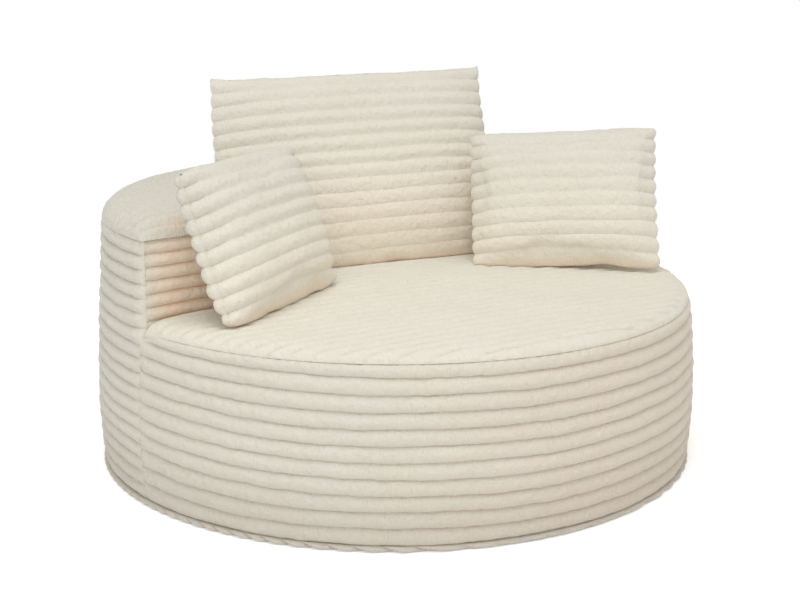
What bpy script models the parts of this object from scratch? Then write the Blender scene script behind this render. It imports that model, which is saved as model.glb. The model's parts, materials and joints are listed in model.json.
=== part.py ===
"""Round foam lounge armchair: ribbed plush cover over foam blocks, with three loose pillows.

The origin is the centre of the underside on the floor, +Z is up and the open front faces -Y.
"""
import math

import bmesh
import bpy
from mathutils import Matrix, Vector
from mathutils.bvhtree import BVHTree

# Units
MM = 0.001
UP = Vector((0, 0, 1))

# Clearance between pieces that touch, and how far a cutter runs past what it cuts
CLEARANCE = 0.3 * MM
OVERRUN = 20 * MM

# Drum: crest radius of the ribbed wall and how its ribs draw in near the top and the floor
DRUM_RADIUS = 0.600
WALL_PLUSH = 9.5 * MM
WALL_RIB = 10 * MM
WALL_DRAW_IN_TOP = 7 * MM
WALL_DRAW_IN_FOOT = 2 * MM
FRONT_RIBS = 11
REAR_RIBS = 18
FRONT_SEGMENTS = 20
REAR_SEGMENTS = 22

# Foam blocks and bottom panel, stacked from the floor
BOTTOM_THICKNESS = 11.5 * MM
BOTTOM_LIP = 9 * MM
BOTTOM_INSET = 3 * MM
BASE_FOAM_HEIGHT = 0.190
COMFORT_FOAM_HEIGHT = 0.110

# Seat: wadding sheet, plush edge on the wall's top, rolled shoulder and crown
WADDING_THICKNESS = 8 * MM
WADDING_INSET = 14 * MM
SEAT_INSET = 9 * MM
SEAT_EDGE = 6 * MM
SEAT_SHOULDER = 25 * MM
SEAT_SHOULDER_WIDTH = 34 * MM
SEAT_CROWN = 8 * MM
SEAT_RIB = 5 * MM
RIB_PITCH = 29 * MM
SEAT_COLUMNS = 8

# Back: crescent block whose hollow is a circle set forward of the drum's centre
BACK_HEIGHT = 0.525
HOLLOW_RADIUS = 0.412
HOLLOW_FORWARD = 0.085
TIP_ANGLE = math.radians(8.5)
INNER_PLUSH = 9 * MM
INNER_RIB = 8 * MM
INNER_RIBS = 7
INNER_SEGMENTS = 18
BACK_TOP_THICKNESS = 24 * MM
BACK_TOP_LIP = 17 * MM
BACK_TOP_INSET = 9 * MM

# Zip of the main cover, in the seam between the rear wall and the bottom panel
COVER_ZIP_START = math.radians(40)
COVER_ZIP_END = math.radians(140)
COVER_ZIP_MARGIN = math.radians(2)
COVER_ZIP_REST = math.radians(46)
COVER_ZIP_SEGMENTS = 20
ZIP_NOTCH_HEIGHT = 24 * MM
TAPE_THICKNESS = 1.2 * MM
TAPE_GAP = 3 * MM

# Zip fittings: chain section, slider, its bridge and the pull tab
CHAIN_WIDTH = 5 * MM
CHAIN_THICKNESS = 2 * MM
SLIDER_LENGTH = 11 * MM
SLIDER_WIDTH = 9 * MM
SLIDER_PLATE = 2.4 * MM
SLIDER_FLANGE_DROP = 1.1 * MM
SLIDER_SIDE_GAP = 0.4 * MM
BRIDGE_LENGTH = 6.8 * MM
BRIDGE_WIDTH = 3 * MM
BRIDGE_BAR = 1.2 * MM
BRIDGE_OPENING = 2.6 * MM
TAB_LENGTH = 25 * MM
TAB_WIDTH = 7 * MM
TAB_THICKNESS = 1 * MM
TAB_END_BAR = 1.4 * MM
TAB_HOLE_LENGTH = 3.8 * MM
TAB_HOLE_WIDTH = 4.2 * MM

# Pillows: cover thickness, seam edge, ribs and how the sides pull in between the corners
PILLOW_PLUSH = 6 * MM
PILLOW_SEAM = 4 * MM
PILLOW_RIB = 6 * MM
PILLOW_GAP = 0.5 * MM
PILLOW_LEAN_GAP = 0.8 * MM
PILLOW_COLUMNS = 6
EDGE_SAMPLES = 12
PILLOW_PULL_SHARE = 0.018
COLUMN_SPREAD_POWER = 1.5
CROWN_FLAT_SHARE = 1 - (1 - 2 / PILLOW_COLUMNS) ** COLUMN_SPREAD_POWER
CROWN_ACROSS_POWER = 0.6
CROWN_ALONG_POWER = 0.6
CROWN_ALONG_FULLNESS = 2.5
ZIP_GROOVE = 2

BIG_WIDTH = 0.620
BIG_HEIGHT = 0.402
BIG_THICKNESS = 0.140
BIG_RIBS = 14
BIG_YAW = math.radians(-4)
BIG_LEAN = math.radians(20)
BIG_SIDEWAYS = 0.027

SMALL_WIDTH = 0.380
SMALL_HEIGHT = 0.275
SMALL_THICKNESS = 0.092
SMALL_RIBS = 10
LEFT_YAW = math.radians(33)
LEFT_LEAN = math.radians(20)
LEFT_ALONG = 0.037
RIGHT_YAW = math.radians(-39)
RIGHT_LEAN = math.radians(18)
RIGHT_TILT = math.radians(2.3)
RIGHT_ALONG = -0.016

# Heights and radii that follow
FOAM_RADIUS = DRUM_RADIUS - WALL_RIB - WALL_PLUSH - CLEARANCE
PANEL_RADIUS = FOAM_RADIUS + CLEARANCE
BASE_BOTTOM = BOTTOM_THICKNESS + CLEARANCE
COMFORT_BOTTOM = BASE_BOTTOM + BASE_FOAM_HEIGHT + CLEARANCE
COMFORT_TOP = COMFORT_BOTTOM + COMFORT_FOAM_HEIGHT
WADDING_BOTTOM = COMFORT_TOP + CLEARANCE
SEAT_BOTTOM = WADDING_BOTTOM + WADDING_THICKNESS + CLEARANCE
RIM_HEIGHT = SEAT_BOTTOM + SEAT_EDGE
SEAT_TOP = RIM_HEIGHT + SEAT_SHOULDER + SEAT_CROWN
WALL_BOTTOM = BOTTOM_THICKNESS + CLEARANCE
BACK_TOP_BOTTOM = BACK_HEIGHT - BACK_TOP_THICKNESS
BACK_FOAM_TOP = BACK_TOP_BOTTOM - CLEARANCE
BACK_FOAM_BOTTOM = COMFORT_TOP + CLEARANCE
INNER_DEPTH = INNER_RIB + INNER_PLUSH
FRONT_SWEEP = math.pi - 2 * TIP_ANGLE
REAR_SWEEP = math.pi + 2 * TIP_ANGLE
REAR_ANGLES = [REAR_SWEEP * i / REAR_SEGMENTS - TIP_ANGLE for i in range(REAR_SEGMENTS + 1)]
FRONT_ANGLES = [math.pi + TIP_ANGLE + FRONT_SWEEP * i / FRONT_SEGMENTS for i in range(FRONT_SEGMENTS + 1)]
SEAT_RADIUS = DRUM_RADIUS - SEAT_INSET
BACK_WADDING_DEPTH = INNER_DEPTH + CLEARANCE + WADDING_THICKNESS
BACK_FOAM_DEPTH = BACK_WADDING_DEPTH + CLEARANCE


def clear_scene():
    """Remove whatever the scene holds."""
    for old in list(bpy.data.objects):
        bpy.data.objects.remove(old, do_unlink=True)


def material(name, colour, roughness, metallic=0):
    """Return a Principled material."""
    made = bpy.data.materials.new(name)
    made.use_nodes = True
    shader = made.node_tree.nodes["Principled BSDF"]
    shader.inputs["Base Color"].default_value = (*colour, 1)
    shader.inputs["Roughness"].default_value = roughness
    shader.inputs["Metallic"].default_value = metallic
    return made


def finish(name, bm, dress, matrix=None, parent=None):
    """Turn a bmesh into a named object with outward faces, placed by its matrix or parent."""
    bmesh.ops.recalc_face_normals(bm, faces=bm.faces)
    if bm.calc_volume(signed=True) < 0:
        bmesh.ops.reverse_faces(bm, faces=bm.faces)
    mesh = bpy.data.meshes.new(name)
    bm.to_mesh(mesh)
    bm.free()
    mesh.materials.append(dress)
    piece = bpy.data.objects.new(name, mesh)
    bpy.context.collection.objects.link(piece)
    if parent is not None:
        piece.parent = parent
    if matrix is not None:
        piece.matrix_local = matrix
    return piece


def make_empty(name, matrix, parent=None):
    """Add an empty that carries a moving piece on its joint's axis."""
    empty = bpy.data.objects.new(name, None)
    bpy.context.collection.objects.link(empty)
    if parent is not None:
        empty.parent = parent
    empty.matrix_local = matrix
    return empty


def cut(piece, cutter):
    """Subtract a hidden cutter from a piece."""
    cutter.hide_render = True
    cutter.display_type = "WIRE"
    boolean = piece.modifiers.new("cut", "BOOLEAN")
    boolean.operation = "DIFFERENCE"
    boolean.solver = "EXACT"
    boolean.object = cutter


def polar(radius, angle, height=0):
    """Return a point from its radius, its angle from +X and its height."""
    return Vector((radius * math.cos(angle), radius * math.sin(angle), height))


def prism(bm, outline, bottom, top):
    """Extrude a flat outline of (x, y) points between two heights."""
    corners = [bm.verts.new((x, y, bottom)) for x, y in outline]
    face = bm.faces.new(corners)
    grown = bmesh.ops.extrude_face_region(bm, geom=[face], use_keep_orig=True)
    lifted = [item for item in grown["geom"] if isinstance(item, bmesh.types.BMVert)]
    bmesh.ops.translate(bm, vec=(0, 0, top - bottom), verts=lifted)


def loft(bm, sections):
    """Bridge closed sections of points in order and close both ends."""
    loops = []
    for section in sections:
        ring = [bm.verts.new(point) for point in section]
        edges = [bm.edges.new((ring[i - 1], ring[i])) for i in range(len(ring))]
        loops.append((ring, edges))
    for (_, first), (_, second) in zip(loops, loops[1:]):
        bmesh.ops.bridge_loops(bm, edges=first + second)
    bm.faces.new(loops[0][0])
    bm.faces.new(loops[-1][0])


def box(bm, low, high):
    """Add a box between two corners."""
    size = [b - a for a, b in zip(low, high)]
    centre = [(a + b) / 2 for a, b in zip(low, high)]
    place = Matrix.Translation(centre) @ Matrix.Diagonal((*size, 1))
    bmesh.ops.create_cube(bm, size=1, matrix=place)


def drum_block(name, bottom, top, radius, dress, lip=0):
    """Add a round block faceted as the walls are, its lower edge rounded where a lip is given."""
    bm = bmesh.new()
    outline = [polar(radius, angle).xy for angle in REAR_ANGLES[:-1] + FRONT_ANGLES[:-1]]
    prism(bm, outline, bottom, top)
    if lip:
        low_edges = [e for e in bm.edges if all(v.co.z < (bottom + top) / 2 for v in e.verts)]
        bmesh.ops.bevel(bm, geom=low_edges, offset=lip, segments=2, profile=0.5, affect="EDGES")
    return finish(name, bm, dress)


def rib_profile(bottom, top, ribs, inner, crest, rib):
    """Return the closed (radius, height) section of a ribbed wall, drawn in at top and floor."""
    points = [(inner, top), (inner, bottom)]
    for step in range(2 * ribs + 1):
        along = step / (2 * ribs)
        limit = WALL_DRAW_IN_TOP if along > 0.5 else WALL_DRAW_IN_FOOT
        draw_in = limit * (2 * along - 1) ** 4
        depth = 0 if step % 2 else rib
        points.append((crest - depth - draw_in, bottom + (top - bottom) * along))
    return points


def wall_panel(name, angles, top, ribs, dress):
    """Sweep the ribbed section round the drum through its angles."""
    profile = rib_profile(WALL_BOTTOM, top, ribs, PANEL_RADIUS, DRUM_RADIUS, WALL_RIB)
    bm = bmesh.new()
    sections = []
    for angle in angles:
        sections.append([polar(radius, angle, height) for radius, height in profile])
    loft(bm, sections)
    return finish(name, bm, dress)


def end_corner(depth):
    """Return where the right end face meets the hollow, both moved back by depth."""
    along = Vector((math.cos(TIP_ANGLE), -math.sin(TIP_ANGLE)))
    inward = Vector((math.sin(TIP_ANGLE), math.cos(TIP_ANGLE)))
    start = inward * depth
    offset = start + Vector((0, HOLLOW_FORWARD))
    half = offset.dot(along)
    radius = HOLLOW_RADIUS + depth
    reach = -half + math.sqrt(half * half - offset.dot(offset) + radius * radius)
    return start + along * reach


def end_at_rim(depth, outer):
    """Return where the right end face, moved back by depth, meets the rear wall's first facet."""
    first = polar(outer, REAR_ANGLES[0]).xy
    facet = polar(outer, REAR_ANGLES[1]).xy - first
    inward = Vector((math.sin(TIP_ANGLE), math.cos(TIP_ANGLE)))
    return first + facet * (depth / facet.dot(inward))


def mirrored(points):
    """Return the points mirrored in the plane X = 0, in reverse order."""
    return [Vector((-point.x, point.y)) for point in reversed(points)]


def back_face_path(depth, outer):
    """Follow the right end face, the hollow and the left end face, depth into the block."""
    corner = end_corner(depth)
    centre = Vector((0, -HOLLOW_FORWARD))
    first = math.atan2(corner.y - centre.y, corner.x)
    right = [end_at_rim(depth, outer), corner]
    half_steps = INNER_SEGMENTS // 2
    for step in range(1, half_steps):
        angle = first + (math.pi / 2 - first) * step / half_steps
        right.append(centre + polar(HOLLOW_RADIUS + depth, angle).xy)
    middle = Vector((0, HOLLOW_RADIUS + depth - HOLLOW_FORWARD))
    return right + [middle] + mirrored(right)


def back_outline(depth, outer):
    """Return the closed plan of the back block at a depth behind its faces."""
    face = back_face_path(depth, outer)
    return face + [polar(outer, angle).xy for angle in reversed(REAR_ANGLES[1:-1])]


def back_block(name, depth, outer, bottom, top, dress):
    """Add a crescent block with upright faces."""
    bm = bmesh.new()
    prism(bm, back_outline(depth, outer), bottom, top)
    return finish(name, bm, dress)


def back_inner_panel(dress):
    """Add the ribbed panel that covers the hollow and both end faces."""
    bottom = SEAT_BOTTOM
    top = BACK_TOP_BOTTOM - CLEARANCE
    rear = back_face_path(INNER_DEPTH, PANEL_RADIUS - CLEARANCE)
    steps = 2 * INNER_RIBS
    faces = []
    for step in range(steps + 1):
        depth = 0 if step % 2 else INNER_RIB
        faces.append(back_face_path(depth, PANEL_RADIUS - CLEARANCE))
    bm = bmesh.new()
    sections = []
    for i, back_point in enumerate(rear):
        section = [Vector((*back_point, top)), Vector((*back_point, bottom))]
        for step, path in enumerate(faces):
            height = bottom + (top - bottom) * step / steps
            section.append(Vector((*path[i], height)))
        sections.append(section)
    loft(bm, sections)
    return finish("back_inner_panel", bm, dress)


def back_wadding(dress):
    """Add the wadding sheet between the hollow's panel and the back foam."""
    bottom = BACK_FOAM_BOTTOM
    near = back_face_path(INNER_DEPTH + CLEARANCE, FOAM_RADIUS)
    far = back_face_path(BACK_WADDING_DEPTH, FOAM_RADIUS)
    bm = bmesh.new()
    sections = []
    for a, b in zip(near, far):
        sections.append([Vector((*a, bottom)), Vector((*b, bottom)),
                         Vector((*b, BACK_FOAM_TOP)), Vector((*a, BACK_FOAM_TOP))])
    loft(bm, sections)
    return finish("back_wadding", bm, dress)


def back_top_panel(dress):
    """Add the flat crescent panel on top of the back, rounded over at its rim."""
    bm = bmesh.new()
    prism(bm, back_outline(0, DRUM_RADIUS - BACK_TOP_INSET), BACK_TOP_BOTTOM, BACK_HEIGHT)
    middle = BACK_HEIGHT - BACK_TOP_THICKNESS / 2
    top_edges = [e for e in bm.edges if all(v.co.z > middle for v in e.verts)]
    bmesh.ops.bevel(bm, geom=top_edges, offset=BACK_TOP_LIP, segments=3, profile=0.5, affect="EDGES")
    return finish("back_top_panel", bm, dress)


def seat_height(x, y):
    """Return the seat's smooth top height, with its crown and its rolled shoulder."""
    radius = math.hypot(x, y)
    inside = max(0, SEAT_RADIUS - radius)
    roll = min(1, inside / SEAT_SHOULDER_WIDTH)
    shoulder = SEAT_SHOULDER * math.sqrt(1 - (1 - roll) ** 2)
    crown = SEAT_CROWN * max(0, 1 - (radius / SEAT_RADIUS) ** 2) * roll
    return RIM_HEIGHT + shoulder + crown


def ribbed_disc():
    """Return the seat panel's bmesh over the whole drum: ribs across it, crowned, flat below."""
    ribs = round(2 * SEAT_RADIUS / RIB_PITCH)
    rows = 2 * ribs
    bm = bmesh.new()
    bmesh.ops.create_grid(bm, x_segments=SEAT_COLUMNS, y_segments=rows, size=1)
    grown = bmesh.ops.extrude_face_region(bm, geom=bm.faces[:], use_keep_orig=True)
    lifted = [item for item in grown["geom"] if isinstance(item, bmesh.types.BMVert)]
    bmesh.ops.translate(bm, vec=UP, verts=lifted)
    for vert in bm.verts:
        across, along, level = vert.co
        row = round((along + 1) * ribs)
        y = SEAT_RADIUS * along
        half_width = math.sqrt(max(0, SEAT_RADIUS ** 2 - y ** 2))
        x = half_width * math.sin(across * math.pi / 2)
        height = SEAT_BOTTOM
        if level > 0.5:
            inside = min(1, max(0, SEAT_RADIUS - math.hypot(x, y)) / SEAT_SHOULDER_WIDTH)
            groove = 0 if row % 2 else SEAT_RIB * inside
            height = seat_height(x, y) - groove
        vert.co = (x, y, height)
    bmesh.ops.remove_doubles(bm, verts=bm.verts, dist=CLEARANCE / 10)
    return bm


def seat_panel(dress):
    """Add the quilted seat panel, cut to the back's faces."""
    panel = finish("seat_panel", ribbed_disc(), dress)
    cutter_bm = bmesh.new()
    grown_face = back_outline(-CLEARANCE, FOAM_RADIUS + OVERRUN)
    prism(cutter_bm, grown_face, SEAT_BOTTOM - OVERRUN, SEAT_TOP + OVERRUN)
    cutter = finish("seat_panel_cutter", cutter_bm, dress)
    cut(panel, cutter)
    return panel


def seat_wadding(dress):
    """Add the flat wadding sheet under the seat panel, inside the rim and the back's faces."""
    radius = FOAM_RADIUS - WADDING_INSET
    face = back_face_path(-CLEARANCE, radius)
    rim = [polar(radius, angle).xy for angle in FRONT_ANGLES[1:-1]]
    bm = bmesh.new()
    prism(bm, face + rim, WADDING_BOTTOM, WADDING_BOTTOM + WADDING_THICKNESS)
    return finish("seat_wadding", bm, dress)


def zip_arc(bm, inner, outer, bottom, top, margin=0):
    """Add a rectangular section swept along the cover zip's arc, margin past each end."""
    start = COVER_ZIP_START - margin
    sweep = COVER_ZIP_END - COVER_ZIP_START + 2 * margin
    sections = []
    for i in range(COVER_ZIP_SEGMENTS + 1):
        angle = start + sweep * i / COVER_ZIP_SEGMENTS
        sections.append([polar(inner, angle, bottom), polar(outer, angle, bottom),
                         polar(outer, angle, top), polar(inner, angle, top)])
    loft(bm, sections)


def slider_body(name, dress, parent):
    """Add a zip slider: channel over the chain, with a bridge for the pull tab.

    The frame has X along the chain, Y away from the tape and Z across, from the chain's foot.
    """
    half_length = SLIDER_LENGTH / 2
    half_width = SLIDER_WIDTH / 2
    channel = CHAIN_WIDTH / 2 + SLIDER_SIDE_GAP
    roof = CHAIN_THICKNESS + CLEARANCE
    plate_top = roof + SLIDER_PLATE
    foot = roof - SLIDER_FLANGE_DROP
    bridge_half = BRIDGE_LENGTH / 2
    opening_top = plate_top + BRIDGE_OPENING
    profile = [(foot, -half_width), (foot, -channel), (roof, -channel), (roof, channel),
               (foot, channel), (foot, half_width), (plate_top, half_width), (plate_top, -half_width)]
    bm = bmesh.new()
    loft(bm, [[Vector((x, y, z)) for y, z in profile] for x in (-half_length, half_length)])
    slider = finish(name, bm, dress, Matrix.Identity(4), parent)
    bridge_bm = bmesh.new()
    arch = [(-bridge_half, plate_top - CLEARANCE), (-bridge_half, opening_top + BRIDGE_BAR),
            (bridge_half, opening_top + BRIDGE_BAR), (bridge_half, plate_top - CLEARANCE),
            (bridge_half - BRIDGE_BAR, plate_top - CLEARANCE), (bridge_half - BRIDGE_BAR, opening_top),
            (BRIDGE_BAR - bridge_half, opening_top), (BRIDGE_BAR - bridge_half, plate_top - CLEARANCE)]
    loft(bridge_bm, [[Vector((x, y, z)) for x, y in arch] for z in (-BRIDGE_WIDTH / 2, BRIDGE_WIDTH / 2)])
    bridge = finish(name + "_bridge_former", bridge_bm, dress, Matrix.Identity(4), parent)
    bridge.hide_render = True
    bridge.display_type = "WIRE"
    union = slider.modifiers.new("bridge", "BOOLEAN")
    union.operation = "UNION"
    union.solver = "EXACT"
    union.object = bridge
    return slider


def tab_axis_height():
    """Return how far the pull tab's axis stands above the chain's foot."""
    return CHAIN_THICKNESS + CLEARANCE + SLIDER_PLATE + BRIDGE_OPENING / 2


def pull_tab(name, dress, parent):
    """Add a pull tab: a plate with a window round the bridge, turning about its end bar."""
    near = -TAB_END_BAR / 2
    hole_start = TAB_END_BAR / 2
    hole_end = hole_start + TAB_HOLE_LENGTH
    thick = TAB_THICKNESS / 2
    half = TAB_WIDTH / 2
    bm = bmesh.new()
    window = TAB_HOLE_WIDTH / 2
    outer = [(near, -half), (TAB_LENGTH, -half), (TAB_LENGTH, half), (near, half)]
    inner = [(hole_start, -window), (hole_end, -window), (hole_end, window), (hole_start, window)]
    sections = []
    for (ox, oz), (ix, iz) in zip(outer, inner):
        sections.append([Vector((ox, -thick, oz)), Vector((ix, -thick, iz)),
                         Vector((ix, thick, iz)), Vector((ox, thick, oz))])
    rings = []
    for section in sections:
        ring = [bm.verts.new(point) for point in section]
        edges = [bm.edges.new((ring[i - 1], ring[i])) for i in range(len(ring))]
        rings.append(edges)
    for i, edges in enumerate(rings):
        bmesh.ops.bridge_loops(bm, edges=rings[i - 1] + edges)
    return finish(name, bm, dress, Matrix.Identity(4), parent)


def zip_runner(prefix, matrix, travel_parent, metal):
    """Add a slider and its pull tab on their own empties at a place on a chain."""
    slide = make_empty(prefix + "_slider_origin", matrix, travel_parent)
    slider_body(prefix + "_slider", metal, slide)
    hinge = make_empty(prefix + "_tab_axis", Matrix.Translation((0, tab_axis_height(), 0)), slide)
    pull_tab(prefix + "_pull_tab", metal, hinge)


def cover_zip(rear_panel, tape_dress, chain_dress, metal):
    """Add the main cover's zip in a notch at the foot of the rear wall."""
    low = WALL_BOTTOM
    high = WALL_BOTTOM + ZIP_NOTCH_HEIGHT
    notch_bm = bmesh.new()
    zip_arc(notch_bm, PANEL_RADIUS - OVERRUN, DRUM_RADIUS + OVERRUN, low - OVERRUN, high + CLEARANCE,
            COVER_ZIP_MARGIN)
    cut(rear_panel, finish("zip_notch_cutter", notch_bm, tape_dress))
    half_facet = (COVER_ZIP_END - COVER_ZIP_START) / COVER_ZIP_SEGMENTS / 2
    tape_inner = PANEL_RADIUS / math.cos(half_facet)
    tape_outer = tape_inner + TAPE_THICKNESS
    middle = (low + high) / 2
    for name, bottom, top in (("cover_zip_tape_lower", low, middle - TAPE_GAP / 2),
                              ("cover_zip_tape_upper", middle + TAPE_GAP / 2, high)):
        bm = bmesh.new()
        zip_arc(bm, tape_inner, tape_outer, bottom, top)
        finish(name, bm, tape_dress)
    chain_inner = tape_outer + CLEARANCE
    bm = bmesh.new()
    zip_arc(bm, chain_inner, chain_inner + CHAIN_THICKNESS, middle - CHAIN_WIDTH / 2,
            middle + CHAIN_WIDTH / 2)
    finish("cover_zip_chain", bm, chain_dress)
    place = Matrix.Rotation(COVER_ZIP_REST - math.pi / 2, 4, "Z")
    outward = Matrix.Translation((0, chain_inner, middle))
    turn = Matrix.Rotation(math.pi, 4, "Y")
    zip_runner("cover_zip", place @ outward @ turn, None, metal)


def past_flat(share):
    """Return 0 over the level middle of a pillow's width, rising to 1 at its sides."""
    return max(0, (abs(share) - CROWN_FLAT_SHARE) / (1 - CROWN_FLAT_SHARE))


def crown_across(share):
    """Return a pillow's fullness across its width, level over the middle."""
    return (1 - min(1, past_flat(share)) ** 2) ** CROWN_ACROSS_POWER


def crown_along(share):
    """Return a pillow's fullness up its height."""
    return (1 - min(1, abs(share)) ** CROWN_ALONG_FULLNESS) ** CROWN_ALONG_POWER


class Pillow:
    """One pillow: its sizes, its ribs and its place on the seat.

    The pillow's own frame has X along its width, Y to its rear and Z up its face, from the
    middle of its bottom seam.
    """

    def __init__(self, name, width, height, thickness, ribs):
        self.name = name
        self.width = width
        self.height = height
        self.half_fill = thickness / 2 - PILLOW_PLUSH - PILLOW_RIB - PILLOW_GAP
        self.ribs = ribs
        self.rows = 2 * ribs
        self.matrix = Matrix.Identity(4)

    def plan(self, across, along, grow):
        """Return the point of the seam plane at two shares from -1 to 1, grown outwards."""
        pull_x = PILLOW_PULL_SHARE * self.height * (1 - along * along)
        pull_z = PILLOW_PULL_SHARE * self.height * (1 - past_flat(across) ** 2)
        x = across * (self.width / 2 - pull_x + grow)
        z = self.height / 2 + along * (self.height / 2 - pull_z + grow)
        return x, z

    def face_depth(self, across, along, crest):
        """Return the cover's outer depth from the seam plane."""
        full = crown_across(across) * crown_along(along)
        rib = PILLOW_RIB if crest else 0
        edge = PILLOW_SEAM if full == 0 else PILLOW_PLUSH
        return self.half_fill * full + PILLOW_GAP + edge + rib * min(1, 2 * full)

    def sheet(self, outer, side):
        """Return a closed bmesh slab: the cover's panel on one side, or the filling."""
        bm = bmesh.new()
        bmesh.ops.create_grid(bm, x_segments=PILLOW_COLUMNS, y_segments=self.rows, size=1)
        grown = bmesh.ops.extrude_face_region(bm, geom=bm.faces[:], use_keep_orig=True)
        lifted = [item for item in grown["geom"] if isinstance(item, bmesh.types.BMVert)]
        bmesh.ops.translate(bm, vec=UP, verts=lifted)
        for vert in bm.verts:
            even, along, level = vert.co
            across = math.copysign(1 - (1 - min(1, abs(even))) ** COLUMN_SPREAD_POWER, even)
            row = round((along + 1) * self.ribs)
            border = abs(even) > 1 - CLEARANCE or row in (0, self.rows)
            full = 0 if border else crown_across(across) * crown_along(along)
            depth = self.half_fill * full
            grow = 0
            if outer:
                depth += PILLOW_GAP
                if level > 0.5 and border:
                    grow = PILLOW_SEAM
                    depth += PILLOW_SEAM
                elif level > 0.5:
                    depth = self.face_depth(across, along, row % 2)
            elif level > 0.5:
                depth = -depth
            x, z = self.plan(across, along, grow)
            vert.co = (x, side * depth, z)
        bmesh.ops.remove_doubles(bm, verts=bm.verts, dist=CLEARANCE / 10)
        return bm

    def stand(self, seat, yaw, lean, tilt, x, y):
        """Stand the pillow at a place of its bottom seam, just clear of the seat's ribs."""
        turn = Matrix.Rotation(yaw, 4, "Z") @ Matrix.Rotation(-lean, 4, "X") @ Matrix.Rotation(-tilt, 4, "Y")
        above = Matrix.Translation((x, y, BACK_HEIGHT)) @ turn
        drop = BACK_HEIGHT
        for side in (-1, 1):
            bm = self.sheet(True, side)
            for edge in bm.edges:
                start, end = (above @ vert.co for vert in edge.verts)
                for step in range(EDGE_SAMPLES):
                    point = start.lerp(end, step / EDGE_SAMPLES)
                    hit = seat.ray_cast(point, -UP)[0]
                    if hit is not None:
                        drop = min(drop, point.z - hit.z)
            bm.free()
        self.matrix = Matrix.Translation((0, 0, CLEARANCE - drop)) @ above

    def zip_frame(self):
        """Return the frame of the chain in the rear face's groove, square to the face there."""
        groove = 2 * ZIP_GROOVE / self.ribs - 1
        step = 1 / self.ribs
        depths = [self.face_depth(0, groove + move, move != 0) for move in (-step, 0, step)]
        heights = [self.plan(0, groove + move, 0)[1] for move in (-step, 0, step)]
        slope = math.atan2(depths[2] - depths[0], heights[2] - heights[0])
        wall = (min(depths[0], depths[2]) - depths[1] + max(depths[0], depths[2]) - depths[1]) / 2
        foot = wall * CHAIN_WIDTH / (heights[2] - heights[0]) + 2 * CLEARANCE
        place = Matrix.Translation((0, depths[1], heights[1]))
        turn = Matrix.Rotation(-slope, 4, "X")
        return place @ turn @ Matrix.Translation((0, foot, 0))

    def build(self, plush, filling, chain, metal):
        """Add the pillow's pieces under one empty."""
        body = make_empty(self.name + "_origin", self.matrix)
        finish(self.name + "_front_panel", self.sheet(True, -1), plush, Matrix.Identity(4), body)
        finish(self.name + "_rear_panel", self.sheet(True, 1), plush, Matrix.Identity(4), body)
        finish(self.name + "_filling", self.sheet(False, 1), filling, Matrix.Identity(4), body)
        frame = self.zip_frame()
        half_chain = CROWN_FLAT_SHARE * self.width / 2
        bm = bmesh.new()
        box(bm, (-half_chain, 0, -CHAIN_WIDTH / 2), (half_chain, CHAIN_THICKNESS, CHAIN_WIDTH / 2))
        finish(self.name + "_zip_chain", bm, chain, frame, body)
        rest = -half_chain + SLIDER_LENGTH
        zip_runner(self.name + "_zip", frame @ Matrix.Translation((rest, 0, 0)), body, metal)


def edge_contact_y(width, yaw, sideways, lean, height):
    """Return the bottom seam's Y where the big pillow's side edges reach the hollow's wall."""
    half = width / 2
    centre = -HOLLOW_FORWARD
    candidates = []
    for side in (-1, 1):
        x = sideways + side * half * math.cos(yaw)
        wall = centre + math.sqrt(HOLLOW_RADIUS ** 2 - x * x)
        candidates.append(wall - side * half * math.sin(yaw))
    rise = BACK_HEIGHT - height
    return min(candidates) - rise * math.tan(lean) - PILLOW_PLUSH - PILLOW_LEAN_GAP


def tip_contact(pillow, side, yaw, lean, along):
    """Return where a small pillow's bottom seam stands when it leans on a tip of the back."""
    corner = end_corner(0)
    corner.x *= side
    normal = Vector((-math.sin(yaw), math.cos(yaw)))
    across = Vector((math.cos(yaw), math.sin(yaw)))
    rise = BACK_HEIGHT - SEAT_TOP
    back_reach = rise * math.tan(lean)
    half_thickness = pillow.half_fill + PILLOW_GAP + PILLOW_PLUSH + PILLOW_RIB
    return corner - normal * (back_reach + half_thickness / math.cos(lean) + PILLOW_LEAN_GAP) + across * along


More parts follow.
